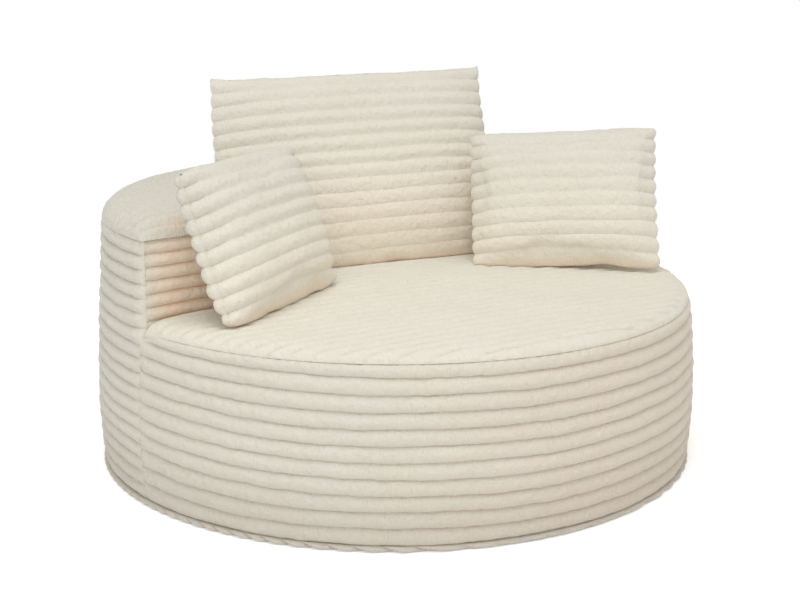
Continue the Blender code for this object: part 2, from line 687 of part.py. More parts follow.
def build():
    """Build the whole chair."""
    clear_scene()
    plush = material("plush", (0.82, 0.76, 0.66), 0.95)
    pillow_plush = material("pillow_plush", (0.83, 0.77, 0.67), 0.95)
    base_foam = material("firm_foam", (0.86, 0.84, 0.72), 0.9)
    soft_foam = material("soft_foam", (0.92, 0.90, 0.82), 0.9)
    wadding = material("wadding", (0.93, 0.93, 0.92), 1)
    fibre = material("fibre_filling", (0.94, 0.94, 0.93), 1)
    tape = material("zip_tape", (0.80, 0.75, 0.66), 0.8)
    chain = material("zip_chain", (0.78, 0.74, 0.66), 0.45)
    metal = material("zip_metal", (0.62, 0.62, 0.64), 0.3, 1)

    drum_block("bottom_panel", 0, BOTTOM_THICKNESS, DRUM_RADIUS - BOTTOM_INSET, plush, BOTTOM_LIP)
    drum_block("base_foam", BASE_BOTTOM, BASE_BOTTOM + BASE_FOAM_HEIGHT, FOAM_RADIUS, base_foam)
    drum_block("comfort_foam", COMFORT_BOTTOM, COMFORT_TOP, FOAM_RADIUS, soft_foam)
    back_block("back_foam", BACK_FOAM_DEPTH, FOAM_RADIUS, BACK_FOAM_BOTTOM, BACK_FOAM_TOP, soft_foam)
    seat_wadding(wadding)
    back_wadding(wadding)
    seat_panel(plush)
    back_inner_panel(plush)
    back_top_panel(plush)

    seam_gap = CLEARANCE / FOAM_RADIUS
    front_angles = [FRONT_ANGLES[0] + seam_gap, *FRONT_ANGLES[1:-1], FRONT_ANGLES[-1] - seam_gap]
    wall_panel("front_wall_panel", front_angles, SEAT_BOTTOM - CLEARANCE, FRONT_RIBS, plush)
    rear = wall_panel("rear_wall_panel", REAR_ANGLES, BACK_TOP_BOTTOM - CLEARANCE, REAR_RIBS, plush)
    cover_zip(rear, tape, chain, metal)

    seat_bm = ribbed_disc()
    seat = BVHTree.FromBMesh(seat_bm)
    seat_bm.free()
    big = Pillow("big_pillow", BIG_WIDTH, BIG_HEIGHT, BIG_THICKNESS, BIG_RIBS)
    big_y = edge_contact_y(BIG_WIDTH, BIG_YAW, BIG_SIDEWAYS, BIG_LEAN, SEAT_TOP)
    big.stand(seat, BIG_YAW, BIG_LEAN, 0, BIG_SIDEWAYS, big_y)
    big.build(pillow_plush, fibre, chain, metal)
    for name, side, yaw, lean, tilt, along in (
            ("left_pillow", -1, LEFT_YAW, LEFT_LEAN, 0, LEFT_ALONG),
            ("right_pillow", 1, RIGHT_YAW, RIGHT_LEAN, RIGHT_TILT, RIGHT_ALONG)):
        small = Pillow(name, SMALL_WIDTH, SMALL_HEIGHT, SMALL_THICKNESS, SMALL_RIBS)
        place = tip_contact(small, side, yaw, lean, along)
        small.stand(seat, yaw, lean, tilt, place.x, place.y)
        small.build(pillow_plush, fibre, chain, metal)
    bpy.context.view_layer.update()


build()
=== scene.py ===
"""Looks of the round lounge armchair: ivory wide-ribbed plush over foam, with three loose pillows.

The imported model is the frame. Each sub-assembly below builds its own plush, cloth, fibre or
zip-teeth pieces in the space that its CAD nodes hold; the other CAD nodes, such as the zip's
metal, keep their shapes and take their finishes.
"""
import json
import logging
import math
from collections.abc import Callable
from dataclasses import dataclass, field
from enum import Enum
from functools import partial

import bmesh
import bpy
import numpy as np
from mathutils import Matrix, Vector, noise
from mathutils.bvhtree import BVHTree

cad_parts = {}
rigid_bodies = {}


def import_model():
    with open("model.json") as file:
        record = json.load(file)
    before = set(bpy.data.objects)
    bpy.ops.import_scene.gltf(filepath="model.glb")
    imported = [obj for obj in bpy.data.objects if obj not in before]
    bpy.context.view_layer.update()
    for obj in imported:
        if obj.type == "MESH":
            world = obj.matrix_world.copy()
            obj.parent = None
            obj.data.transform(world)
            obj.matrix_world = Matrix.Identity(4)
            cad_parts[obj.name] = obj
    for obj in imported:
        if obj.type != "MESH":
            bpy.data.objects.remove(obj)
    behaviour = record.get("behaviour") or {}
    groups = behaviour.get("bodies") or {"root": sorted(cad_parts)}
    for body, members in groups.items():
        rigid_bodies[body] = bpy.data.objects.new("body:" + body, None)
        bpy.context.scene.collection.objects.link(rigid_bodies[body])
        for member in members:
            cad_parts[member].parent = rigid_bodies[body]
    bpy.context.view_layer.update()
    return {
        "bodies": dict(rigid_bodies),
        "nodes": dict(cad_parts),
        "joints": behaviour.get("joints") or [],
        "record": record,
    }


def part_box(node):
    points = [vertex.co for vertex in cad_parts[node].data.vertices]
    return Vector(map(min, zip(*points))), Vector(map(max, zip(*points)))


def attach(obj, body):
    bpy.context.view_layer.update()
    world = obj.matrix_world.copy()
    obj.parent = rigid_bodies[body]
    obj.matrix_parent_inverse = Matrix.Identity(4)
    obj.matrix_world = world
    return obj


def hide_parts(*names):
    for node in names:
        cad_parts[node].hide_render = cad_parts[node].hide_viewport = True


LOG = logging.getLogger("armchair")
MM = 0.001

# Vertices nearer than this merge, and edges that fold more than this are drawn sharp
MERGE = 0.02 * MM
FOLD = math.radians(75)

# Half the distance over which a surface's slope is read, and the least length to divide by
SLOPE_STEP = 1.5 * MM
LEAST_LENGTH = 1e-9

# The colour inputs and output of a Mix node, whose names its other kinds share
MIX_FIRST, MIX_SECOND, MIX_RESULT = 6, 7, 2


class Slot(Enum):
    """The record's material slots."""

    PLUSH = "plush"
    PILLOW_PLUSH = "pillow_plush"
    FIRM_FOAM = "firm_foam"
    SOFT_FOAM = "soft_foam"
    WADDING = "wadding"
    FIBRE = "fibre_filling"
    ZIP_TAPE = "zip_tape"
    ZIP_CHAIN = "zip_chain"
    ZIP_METAL = "zip_metal"


@dataclass
class Spot:
    """One point of a surface, with what the plush's finish reads there.

    Fabric is its place on the cloth. Crest is 0 in a groove and 1 on a rib; the finish paints shade
    into low crests. The warm value is painted warm bounce light, 1 in sheltered shade and on the
    side that a warm lamp lights. The dark value is painted shade, 1 where less light falls.
    """

    point: Vector
    fabric: Vector
    crest: float = 1.0
    # Painted warm bounce light, then painted shade
    warm_shade: float = 0.0
    painted_shade: float = 0.0


def smoothstep(low: float, high: float, value: float) -> float:
    """Blend from 0 to 1 between two limits.

    Args:
        low: Value at and below which the result is 0.
        high: Value at and above which the result is 1.
        value: The value to place between them.

    Returns:
        The smooth share.
    """
    share = min(1.0, max(0.0, (value - low) / (high - low)))
    return share * share * (3 - 2 * share)


def add_object(name: str, data: bpy.types.ID) -> bpy.types.Object:
    """Add an object to the scene.

    Args:
        name: The object's name.
        data: Its mesh, light or camera.

    Returns:
        The object, at the origin.
    """
    made = bpy.data.objects.new(name, data)
    bpy.context.scene.collection.objects.link(made)
    return made


def node_points(node: str) -> np.ndarray:
    """Read a CAD node's vertices.

    Args:
        node: The node's name.

    Returns:
        One row for each vertex, in the row frame.
    """
    bm = bmesh.new()
    bm.from_mesh(bpy.data.objects[node].data)
    points = np.array([vert.co[:] for vert in bm.verts])
    bm.free()
    return points


def rolled(distance: float, width: float) -> float:
    """Round an edge over, as padding under a cover does.

    Args:
        distance: How far inside the edge the point lies, in metres.
        width: How wide the rounding is, in metres.

    Returns:
        The share of the full height there, rising steeply from the edge.
    """
    share = min(1.0, max(0.0, distance / width))
    return math.sqrt(1 - (1 - share) ** 2)


class Value:
    """A shader socket that Python arithmetic adds Math nodes to."""

    def __init__(self, tree: "Tree", socket: bpy.types.NodeSocket) -> None:
        """Wrap a socket of a node tree."""
        self.tree = tree
        self.socket = socket

    def _math(self, operation: str, first: "Value | float", second: "Value | float") -> "Value":
        """Add one Math node over two inputs."""
        made = self.tree.node("ShaderNodeMath", {"operation": operation}, {0: first, 1: second})
        return Value(self.tree, made.outputs[0])

    def __add__(self, other: "Value | float") -> "Value":
        """Return self + other."""
        return self._math("ADD", self, other)

    def __radd__(self, other: float) -> "Value":
        """Return other + self."""
        return self._math("ADD", other, self)

    def __sub__(self, other: "Value | float") -> "Value":
        """Return self - other."""
        return self._math("SUBTRACT", self, other)

    def __rsub__(self, other: float) -> "Value":
        """Return other - self."""
        return self._math("SUBTRACT", other, self)

    def __mul__(self, other: "Value | float") -> "Value":
        """Return self * other."""
        return self._math("MULTIPLY", self, other)

    def __rmul__(self, other: float) -> "Value":
        """Return other * self."""
        return self._math("MULTIPLY", other, self)

    def __pow__(self, other: "Value | float") -> "Value":
        """Return self ** other, with self held above 0."""
        return self._math("POWER", self._math("MAXIMUM", self, 0.0), other)


class Tree:
    """The node tree of a material or a world."""

    def __init__(self, holder: bpy.types.Material | bpy.types.World) -> None:
        """Open the holder's tree."""
        holder.use_nodes = True
        self.tree = holder.node_tree

    def node(self, kind: str, settings: dict, inputs: dict) -> bpy.types.Node:
        """Add a node.

        Args:
            kind: The node's type.
            settings: Its properties by name.
            inputs: Values, Value objects or sockets by input name or index.

        Returns:
            The new node.
        """
        made = self.tree.nodes.new(kind)
        for name, setting in settings.items():
            setattr(made, name, setting)
        for name, given in inputs.items():
            self.feed(made.inputs[name], given)
        return made

    def feed(self, socket: bpy.types.NodeSocket, given: object) -> None:
        """Link a socket or set its own value.

        Args:
            socket: The input to feed.
            given: A Value, a socket or a plain number, colour or vector.
        """
        if isinstance(given, Value):
            self.tree.links.new(given.socket, socket)
        elif isinstance(given, bpy.types.NodeSocket):
            self.tree.links.new(given, socket)
        else:
            socket.default_value = given

    def value(self, kind: str, settings: dict, inputs: dict, output: int | str = 0) -> Value:
        """Add a node and wrap one of its outputs."""
        return Value(self, self.node(kind, settings, inputs).outputs[output])

    def direct_rays(self) -> Value:
        """Tell the rays that show a surface from those that only light others.

        Returns:
            1 for camera, mirrored and transmitted rays, otherwise 0.
        """
        path = self.node("ShaderNodeLightPath", {}, {})
        camera, glossy, transmitted = (Value(self, path.outputs[f"Is {kind} Ray"])
                                       for kind in ("Camera", "Glossy", "Transmission"))
        return camera + glossy + transmitted

    def output(self, name: str, factor: Value, first: bpy.types.Node,
               second: bpy.types.Node) -> None:
        """Mix two shaders into the tree's output.

        Args:
            name: The output node's name.
            factor: The second shader's share.
            first: The first shader's node.
            second: The second shader's node.
        """
        inputs = {0: factor, 1: first.outputs[0], 2: second.outputs[0]}
        mixed = self.node("ShaderNodeMixShader", {}, inputs)
        self.feed(self.tree.nodes[name].inputs["Surface"], mixed.outputs[0])


class Shader(Tree):
    """A material of one Principled shader, with what feeds it."""

    def __init__(self, name: str) -> None:
        """Start the material.

        Args:
            name: The material's name.
        """
        self.material = bpy.data.materials.new(name)
        super().__init__(self.material)
        self.surface = self.tree.nodes["Principled BSDF"]

    def place(self) -> bpy.types.NodeSocket:
        """Return the object's own coordinates."""
        return self.node("ShaderNodeTexCoord", {}, {}).outputs["Object"]

    def attribute(self, name: str, output: str) -> bpy.types.NodeSocket:
        """Return an attribute of the piece's mesh."""
        return self.node("ShaderNodeAttribute", {"attribute_name": name}, {}).outputs[output]

    def scaled(self, vector: bpy.types.NodeSocket, scale: tuple) -> bpy.types.NodeSocket:
        """Return a vector scaled along each axis."""
        return self.node("ShaderNodeMapping", {}, {"Vector": vector, "Scale": scale}).outputs[0]

    def grain(self, vector: bpy.types.NodeSocket, scale: float, detail: float = 2.0) -> Value:
        """Return noise from 0 to 1 over a vector."""
        inputs = {"Vector": vector, "Scale": scale, "Detail": detail}
        return self.value("ShaderNodeTexNoise", {}, inputs)

    def mixed(self, factor: Value, first: object, second: object) -> bpy.types.NodeSocket:
        """Blend two colours, each a socket or a tuple of three parts.

        Args:
            factor: The second colour's share, which the node holds from 0 to 1.
            first: The first colour.
            second: The second colour.

        Returns:
            The blended colour.
        """
        inputs = {"Factor": factor}
        for index, colour in ((MIX_FIRST, first), (MIX_SECOND, second)):
            inputs[index] = (*colour, 1) if isinstance(colour, tuple) else colour
        settings = {"data_type": "RGBA", "clamp_factor": True}
        return self.node("ShaderNodeMix", settings, inputs).outputs[MIX_RESULT]

    def bump(self, height: Value, strength: float, distance: float) -> bpy.types.NodeSocket:
        """Return a normal from a height."""
        inputs = {"Height": height, "Strength": strength, "Distance": distance}
        return self.node("ShaderNodeBump", {}, inputs).outputs[0]

    def finish(self, inputs: dict) -> bpy.types.Material:
        """Feed the Principled shader.

        Args:
            inputs: What each of its inputs gets, by name.

        Returns:
            The finished material.
        """
        for name, given in inputs.items():
            self.feed(self.surface.inputs[name], given)
        return self.material


@dataclass(frozen=True)
class PlushFinish:
    """Short-pile plush: pale crests, grooves darkened by painted shade over the deeper pile's own
    tone, painted warm bounce light, painted shade, brushed pile and a soft sheen.
    """

    name: str
    crest_colour: tuple = (0.855, 0.828, 0.735)
    shade_colour: tuple = (0.82, 0.78, 0.675)
    # Groove colour: painted shade in the grooves, partly the deeper pile's own tone
    groove_pile_and_shade_colour: tuple = (0.765, 0.705, 0.59)
    # Painted shade: the colour that the painted shade value mixes towards
    painted_shade_colour: tuple = (0.34, 0.335, 0.315)
    # Painted warm bounce light, on ribs and in grooves
    warm_shade_colour: tuple = (0.985, 0.785, 0.615)
    warm_groove_shade_colour: tuple = (0.81, 0.49, 0.3)
    patch_scale: float = 9
    clump_scale: float = 85
    pile_scale: float = 360
    brush_scale: tuple = (420, 95, 60)
    groove_power: float = 2.6
    groove_share: float = 0.62
    painted_shade_share: float = 0.25
    roughness: float = 0.86
    specular: float = 0.15
    sheen: float = 0.3
    sheen_roughness: float = 0.5
    sheen_tint: tuple = (1, 0.98, 0.94, 1)
    pile_strength: float = 0.9
    pile_depth: float = 4.4 * MM

    def build(self) -> bpy.types.Material:
        """Build the plush from what each vertex's Spot says.

        Returns:
            The material.
        """
        shader = Shader(self.name)
        place = shader.place()
        fabric = shader.attribute("fabric", "Vector")
        crest, warm_shade, painted_shade = (Value(shader, shader.attribute(name, "Fac"))
                              for name in ("crest", "warm_shade", "painted_shade"))
        clump = shader.grain(place, self.clump_scale, 4)
        pile = shader.grain(place, self.pile_scale, 3)
        brushed = shader.grain(shader.scaled(fabric, self.brush_scale), 1, 2)
        patch = shader.grain(place, self.patch_scale, 3)
        light = (clump - 0.4) * 1.5 + (patch - 0.5) * 1.1 + brushed * 0.35
        lit = shader.mixed(light, self.shade_colour, self.crest_colour)
        # Painted warm bounce light where the spot's warm value says
        lit = shader.mixed(warm_shade, lit, self.warm_shade_colour)
        # Painted shade in the grooves, warm where warm bounce light is painted
        groove = shader.mixed(warm_shade, self.groove_pile_and_shade_colour, self.warm_groove_shade_colour)
        # Grooves darken by painted shade, more where the crest is low
        depth = (1 - crest + (clump - 0.5) * 0.35) ** self.groove_power
        colour = shader.mixed(depth * (self.groove_share + warm_shade * 0.3), lit, groove)
        height = pile * 0.35 + brushed * 0.45 + clump * 0.9
        return shader.finish({
            # Painted shade where the spot says: tops, wall feet, seams and stitches
            "Base Color": shader.mixed(painted_shade * self.painted_shade_share, colour, self.painted_shade_colour),
            "Roughness": self.roughness + pile * 0.12,
            "Normal": shader.bump(height, self.pile_strength, self.pile_depth),
            "Sheen Weight": self.sheen,
            "Sheen Roughness": self.sheen_roughness,
            "Sheen Tint": self.sheen_tint,
            "Specular IOR Level": self.specular,
        })


@dataclass(frozen=True)
class FoamFinish:
    """Open-cell foam: fine pores over a faint mottle."""

    name: str
    colour: tuple
    shade_share: float = 0.86
    pore_scale: float = 420
    mottle_scale: float = 12
    roughness: float = 0.88
    specular: float = 0.2
    pore_strength: float = 0.7
    pore_depth: float = 1 * MM

    def build(self) -> bpy.types.Material:
        """Build the foam.

        Returns:
            The material.
        """
        shader = Shader(self.name)
        place = shader.place()
        inputs = {"Vector": place, "Scale": self.pore_scale}
        pores = shader.value("ShaderNodeTexVoronoi", {}, inputs, "Distance")
        mottle = shader.grain(place, self.mottle_scale, 3)
        shade = tuple(self.shade_share * part for part in self.colour)
        return shader.finish({
            "Base Color": shader.mixed(pores * 0.8 + mottle * 0.3, shade, self.colour),
            "Roughness": self.roughness + mottle * 0.08,
            "Normal": shader.bump(pores, self.pore_strength, self.pore_depth),
            "Specular IOR Level": self.specular,
        })


@dataclass(frozen=True)
class FibreFinish:
    """Loose white fibre, as in wadding and pillow filling."""

    name: str
    colour: tuple = (0.90, 0.90, 0.89)
    shade_colour: tuple = (0.78, 0.78, 0.77)
    strand_scale: tuple = (300, 60, 220)
    lump_scale: float = 26
    roughness: float = 0.9
    sheen: float = 0.2
    strand_strength: float = 0.8
    strand_depth: float = 1.5 * MM

    def build(self) -> bpy.types.Material:
        """Build the fibre.

        Returns:
            The material.
        """
        shader = Shader(self.name)
        place = shader.place()
        strands = shader.grain(shader.scaled(place, self.strand_scale), 1, 5)
        lumps = shader.grain(place, self.lump_scale, 3)
        light = strands * 0.7 + lumps * 0.4
        return shader.finish({
            "Base Color": shader.mixed(light, self.shade_colour, self.colour),
            "Roughness": self.roughness + lumps * 0.08,
            "Normal": shader.bump(strands + lumps, self.strand_strength, self.strand_depth),
            "Sheen Weight": self.sheen,
        })


@dataclass(frozen=True)
class TapeFinish:
    """Woven zip tape in the plush's colour."""

    name: str
    colour: tuple = (0.78, 0.72, 0.61)
    shade_colour: tuple = (0.60, 0.53, 0.42)
    threads_per_metre: float = 1300.0
    threads_per_wave: float = 6
    fuzz_scale: float = 900
    roughness: float = 0.75
    sheen: float = 0.15
    weave_strength: float = 0.6
    weave_depth: float = 0.4 * MM

    def build(self) -> bpy.types.Material:
        """Build the tape.

        Returns:
            The material.
        """
        shader = Shader(self.name)
        fabric = shader.attribute("fabric", "Vector")
        settings = {"wave_type": "BANDS", "bands_direction": "DIAGONAL"}
        inputs = {"Vector": fabric, "Scale": self.threads_per_metre / self.threads_per_wave}
        twill = shader.value("ShaderNodeTexWave", settings, inputs)
        fuzz = shader.grain(fabric, self.fuzz_scale, 2)
        light = twill * 0.7 + fuzz * 0.3
        return shader.finish({
            "Base Color": shader.mixed(light, self.shade_colour, self.colour),
            "Roughness": self.roughness + fuzz * 0.15,
            "Normal": shader.bump(twill + fuzz * 0.5, self.weave_strength, self.weave_depth),
            "Sheen Weight": self.sheen,
        })


@dataclass(frozen=True)
class MouldedFinish:
    """Moulded polyester of a zip's coil."""

    name: str
    colour: tuple = (0.80, 0.75, 0.65)
    shade_colour: tuple = (0.70, 0.64, 0.53)
    cloud_scale: float = 160
    roughness: float = 0.35
    cloud_strength: float = 0.15
    cloud_depth: float = 0.3 * MM

    def build(self) -> bpy.types.Material:
        """Build the coil's polyester.

        Returns:
            The material.
        """
        shader = Shader(self.name)
        cloudy = shader.grain(shader.place(), self.cloud_scale, 2)
        return shader.finish({
            "Base Color": shader.mixed(cloudy, self.shade_colour, self.colour),
            "Roughness": self.roughness + cloudy * 0.2,
            "Normal": shader.bump(cloudy, self.cloud_strength, self.cloud_depth),
        })


@dataclass(frozen=True)
class PlatedFinish:
    """Brushed nickel plate with light wear."""

    name: str
    colour: tuple = (0.66, 0.65, 0.63)
    worn_colour: tuple = (0.50, 0.47, 0.42)
    brush_scale: tuple = (2600, 500, 900)
    wear_scale: float = 420
    roughness: float = 0.22
    brush_strength: float = 0.12
    brush_depth: float = 0.1 * MM

    def build(self) -> bpy.types.Material:
        """Build the plated metal.

        Returns:
            The material.
        """
        shader = Shader(self.name)
        place = shader.place()
        brushed = shader.grain(shader.scaled(place, self.brush_scale), 1, 2)
        wear = shader.grain(place, self.wear_scale, 4)
        return shader.finish({
            "Base Color": shader.mixed((wear - 0.45) * 2.0, self.colour, self.worn_colour),
            "Metallic": 1.0,
            "Roughness": self.roughness + brushed * 0.16 + wear * 0.1,
            "Normal": shader.bump(brushed, self.brush_strength, self.brush_depth),
        })


@dataclass
class Palette:
    """Every finish of the chair, made once."""

    made: dict[Slot, bpy.types.Material] = field(default_factory=dict)

    def __post_init__(self) -> None:
        """Build the materials."""
        finishes = {
            Slot.PLUSH: PlushFinish("ivory_plush"),
            Slot.PILLOW_PLUSH: PlushFinish("ivory_pillow_plush", (0.885, 0.855, 0.765),
                                           (0.84, 0.80, 0.695)),
            Slot.FIRM_FOAM: FoamFinish("firm_foam_cells", (0.86, 0.83, 0.68)),
            Slot.SOFT_FOAM: FoamFinish("soft_foam_cells", (0.92, 0.90, 0.81)),
            Slot.WADDING: FibreFinish("wadding_fibre"),
            Slot.FIBRE: FibreFinish("filling_fibre", (0.93, 0.93, 0.92)),
            Slot.ZIP_TAPE: TapeFinish("woven_tape"),
            Slot.ZIP_CHAIN: MouldedFinish("coil_polyester"),
            Slot.ZIP_METAL: PlatedFinish("nickel_plate"),
        }
        for slot, finish in finishes.items():
            self.made[slot] = finish.build()

    def dress(self, piece: bpy.types.Object, slot: Slot) -> None:
        """Give a piece its only material."""
        piece.data.materials.clear()
        piece.data.materials.append(self.made[slot])

    def dress_frame(self, frame: dict) -> None:
        """Give every CAD node its slot's material.

        Args:
            frame: The loaded frame, whose record names each node's slot.
        """
        for part in frame["record"]["subparts"]:
            node = frame["nodes"].get(part["node"])
            if node is not None:
                self.dress(node, Slot(part["material_slot"]))


class Workshop:
    """Turns bmeshes into finished pieces that ride on the frame."""

    def __init__(self, palette: Palette) -> None:
        """Keep the palette that pieces are dressed from."""
        self.palette = palette

    def grid(self, columns: int, rows: int, place: Callable[[int, int], Spot]) -> bmesh.types.BMesh:
        """Lay a grid over a surface.

        Args:
            columns: Cells along the first direction.
            rows: Cells along the second direction.
            place: Gives the spot of a column and a row.

        Returns:
            The laid grid, with its fabric and crest layers and its layers of painted warm light and
            painted shade.
        """
        bm = bmesh.new()
        fabric = bm.verts.layers.float_vector.new("fabric")
        crest = bm.verts.layers.float.new("crest")
        warm_shade = bm.verts.layers.float.new("warm_shade")
        painted_shade = bm.verts.layers.float.new("painted_shade")
        bmesh.ops.create_grid(bm, x_segments=columns, y_segments=rows, size=1)
        for vert in bm.verts:
            column = round((vert.co.x + 1) / 2 * columns)
            row = round((vert.co.y + 1) / 2 * rows)
            spot = place(column, row)
            vert.co = spot.point
            vert[fabric] = spot.fabric
            vert[crest] = spot.crest
            vert[warm_shade] = spot.warm_shade
            vert[painted_shade] = spot.painted_shade
        return bm

    @staticmethod
    def join(first: bmesh.types.BMesh, second: bmesh.types.BMesh) -> None:
        """Add one bmesh to another.

        Args:
            first: The bmesh that takes both.
            second: The bmesh that is added; it is freed.
        """
        mesh = bpy.data.meshes.new("second")
        second.to_mesh(mesh)
        second.free()
        first.from_mesh(mesh)
        bpy.data.meshes.remove(mesh)

    @staticmethod
    def close(bm: bmesh.types.BMesh) -> None:
        """Merge doubles, fill what is open and turn the faces outwards.

        Args:
            bm: The bmesh to close.
        """
        bmesh.ops.remove_doubles(bm, verts=bm.verts, dist=MERGE)
        open_edges = [edge for edge in bm.edges if edge.is_boundary]
        if open_edges:
            bmesh.ops.holes_fill(bm, edges=open_edges, sides=0)
        bmesh.ops.recalc_face_normals(bm, faces=bm.faces)
        if bm.calc_volume(signed=True) < 0:
            bmesh.ops.reverse_faces(bm, faces=bm.faces)

    def panel(self, node: str, columns: int, rows: int,
              place: Callable[[int, int], Spot]) -> bpy.types.Object:
        """Build one of the chair's plush panels as a closed shell.

        Args:
            node: The CAD node that it replaces.
            columns: Cells along the grid's first direction.
            rows: Cells along its second direction.
            place: Gives the spot of a column and a row.

        Returns:
            The finished panel.
        """
        bm = self.grid(columns, rows, place)
        self.close(bm)
        return self.piece(node + "_plush", bm, Slot.PLUSH, "chair", (node,))

    def piece(self, name: str, bm: bmesh.types.BMesh, slot: Slot, body: str,
              nodes: tuple = ()) -> bpy.types.Object:
        """Make a piece of a bmesh and let it ride on its body.

        Args:
            name: The piece's name.
            bm: Its mesh, in the row frame; it is freed.
            slot: The record's slot that it takes its finish from.
            body: The CAD body that carries it.
            nodes: The CAD nodes that it stands for.

        Returns:
            The finished piece.
        """
        for face in bm.faces:
            face.smooth = True
        for edge in bm.edges:
            edge.smooth = edge.calc_face_angle(0.0) < FOLD
        mesh = bpy.data.meshes.new(name)
        bm.to_mesh(mesh)
        bm.free()
        made = add_object(name, mesh)
        self.palette.dress(made, slot)
        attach(made, body)
        if nodes:
            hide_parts(*nodes)
        LOG.info("%s: %d faces", name, len(mesh.polygons))
        return made


@dataclass(frozen=True)
class Ribs:
    """The plush's ribs: their pitch, height and section, and how unevenly they run."""

    pitch: float
    height: float
    seed: float
    samples: int = 10
    hang: float = 1.0
    fullness: float = 0.8
    wander: float = 1.5 * MM
    swell: float = 1.2 * MM
    tuft: float = 0.95 * MM

    def profile(self, share: float) -> float:
        """Return the share of a rib's height at a share of its width, its crest hanging low."""
        return max(0.0, math.sin(math.pi * share ** self.hang)) ** self.fullness

    def station(self, row: int) -> tuple[float, float]:
        """Place a mesh row on the ribs.

        Args:
            row: The row's number from the first rib's edge.

        Returns:
            Its place across the ribs, in pitches, and its share of a rib's height.
        """
        rib, step = divmod(row, self.samples)
        share = (1 - math.cos(math.pi * step / self.samples)) / 2
        return rib + share, self.profile(share)

    def share(self, across: float) -> float:
        """Return the share of a rib's height at any place across, in pitches."""
        return self.profile(across % 1)

    def octave(self, along: float, across: float, scales: tuple[float, float, float]) -> float:
        """Return noise at a place, scaled along and across and with a step of the seed."""
        along_scale, across_scale, step = scales
        return noise.noise(Vector((along * along_scale, across * across_scale, self.seed + step)))

    def drift(self, along: float, across: float) -> float:
        """Tell how far a groove runs off its straight line.

        Args:
            along: Distance along the ribs, in metres.
            across: Place across them, in pitches.

        Returns:
            The shift across, in metres.
        """
        low = self.octave(along, across, (4.5, 0.45, 0))
        high = self.octave(along, across, (17, 0.9, 9))
        lock = self.octave(along, across, (55, 1.9, 15))
        return self.wander * (low * 1.5 + high * 0.9 + lock * 0.55)

    def relief(self, along: float, across: float) -> float:
        """Tell how far the pile stands proud or falls short of an even rib.

        Args:
            along: Distance along the ribs, in metres.
            across: Place across them, in pitches.

        Returns:
            The shift outwards, in metres.
        """
        body = self.octave(along, math.floor(across), (11, 3.7, 2))
        lump = self.octave(along, across, (38, 1.6, 4))
        pile = self.octave(along, across, (120, 3.6, 6))
        lock = self.octave(along, across, (70, 2.2, 8))
        return self.swell * (body + 0.55 * lump) + self.tuft * (0.6 * pile + lock)


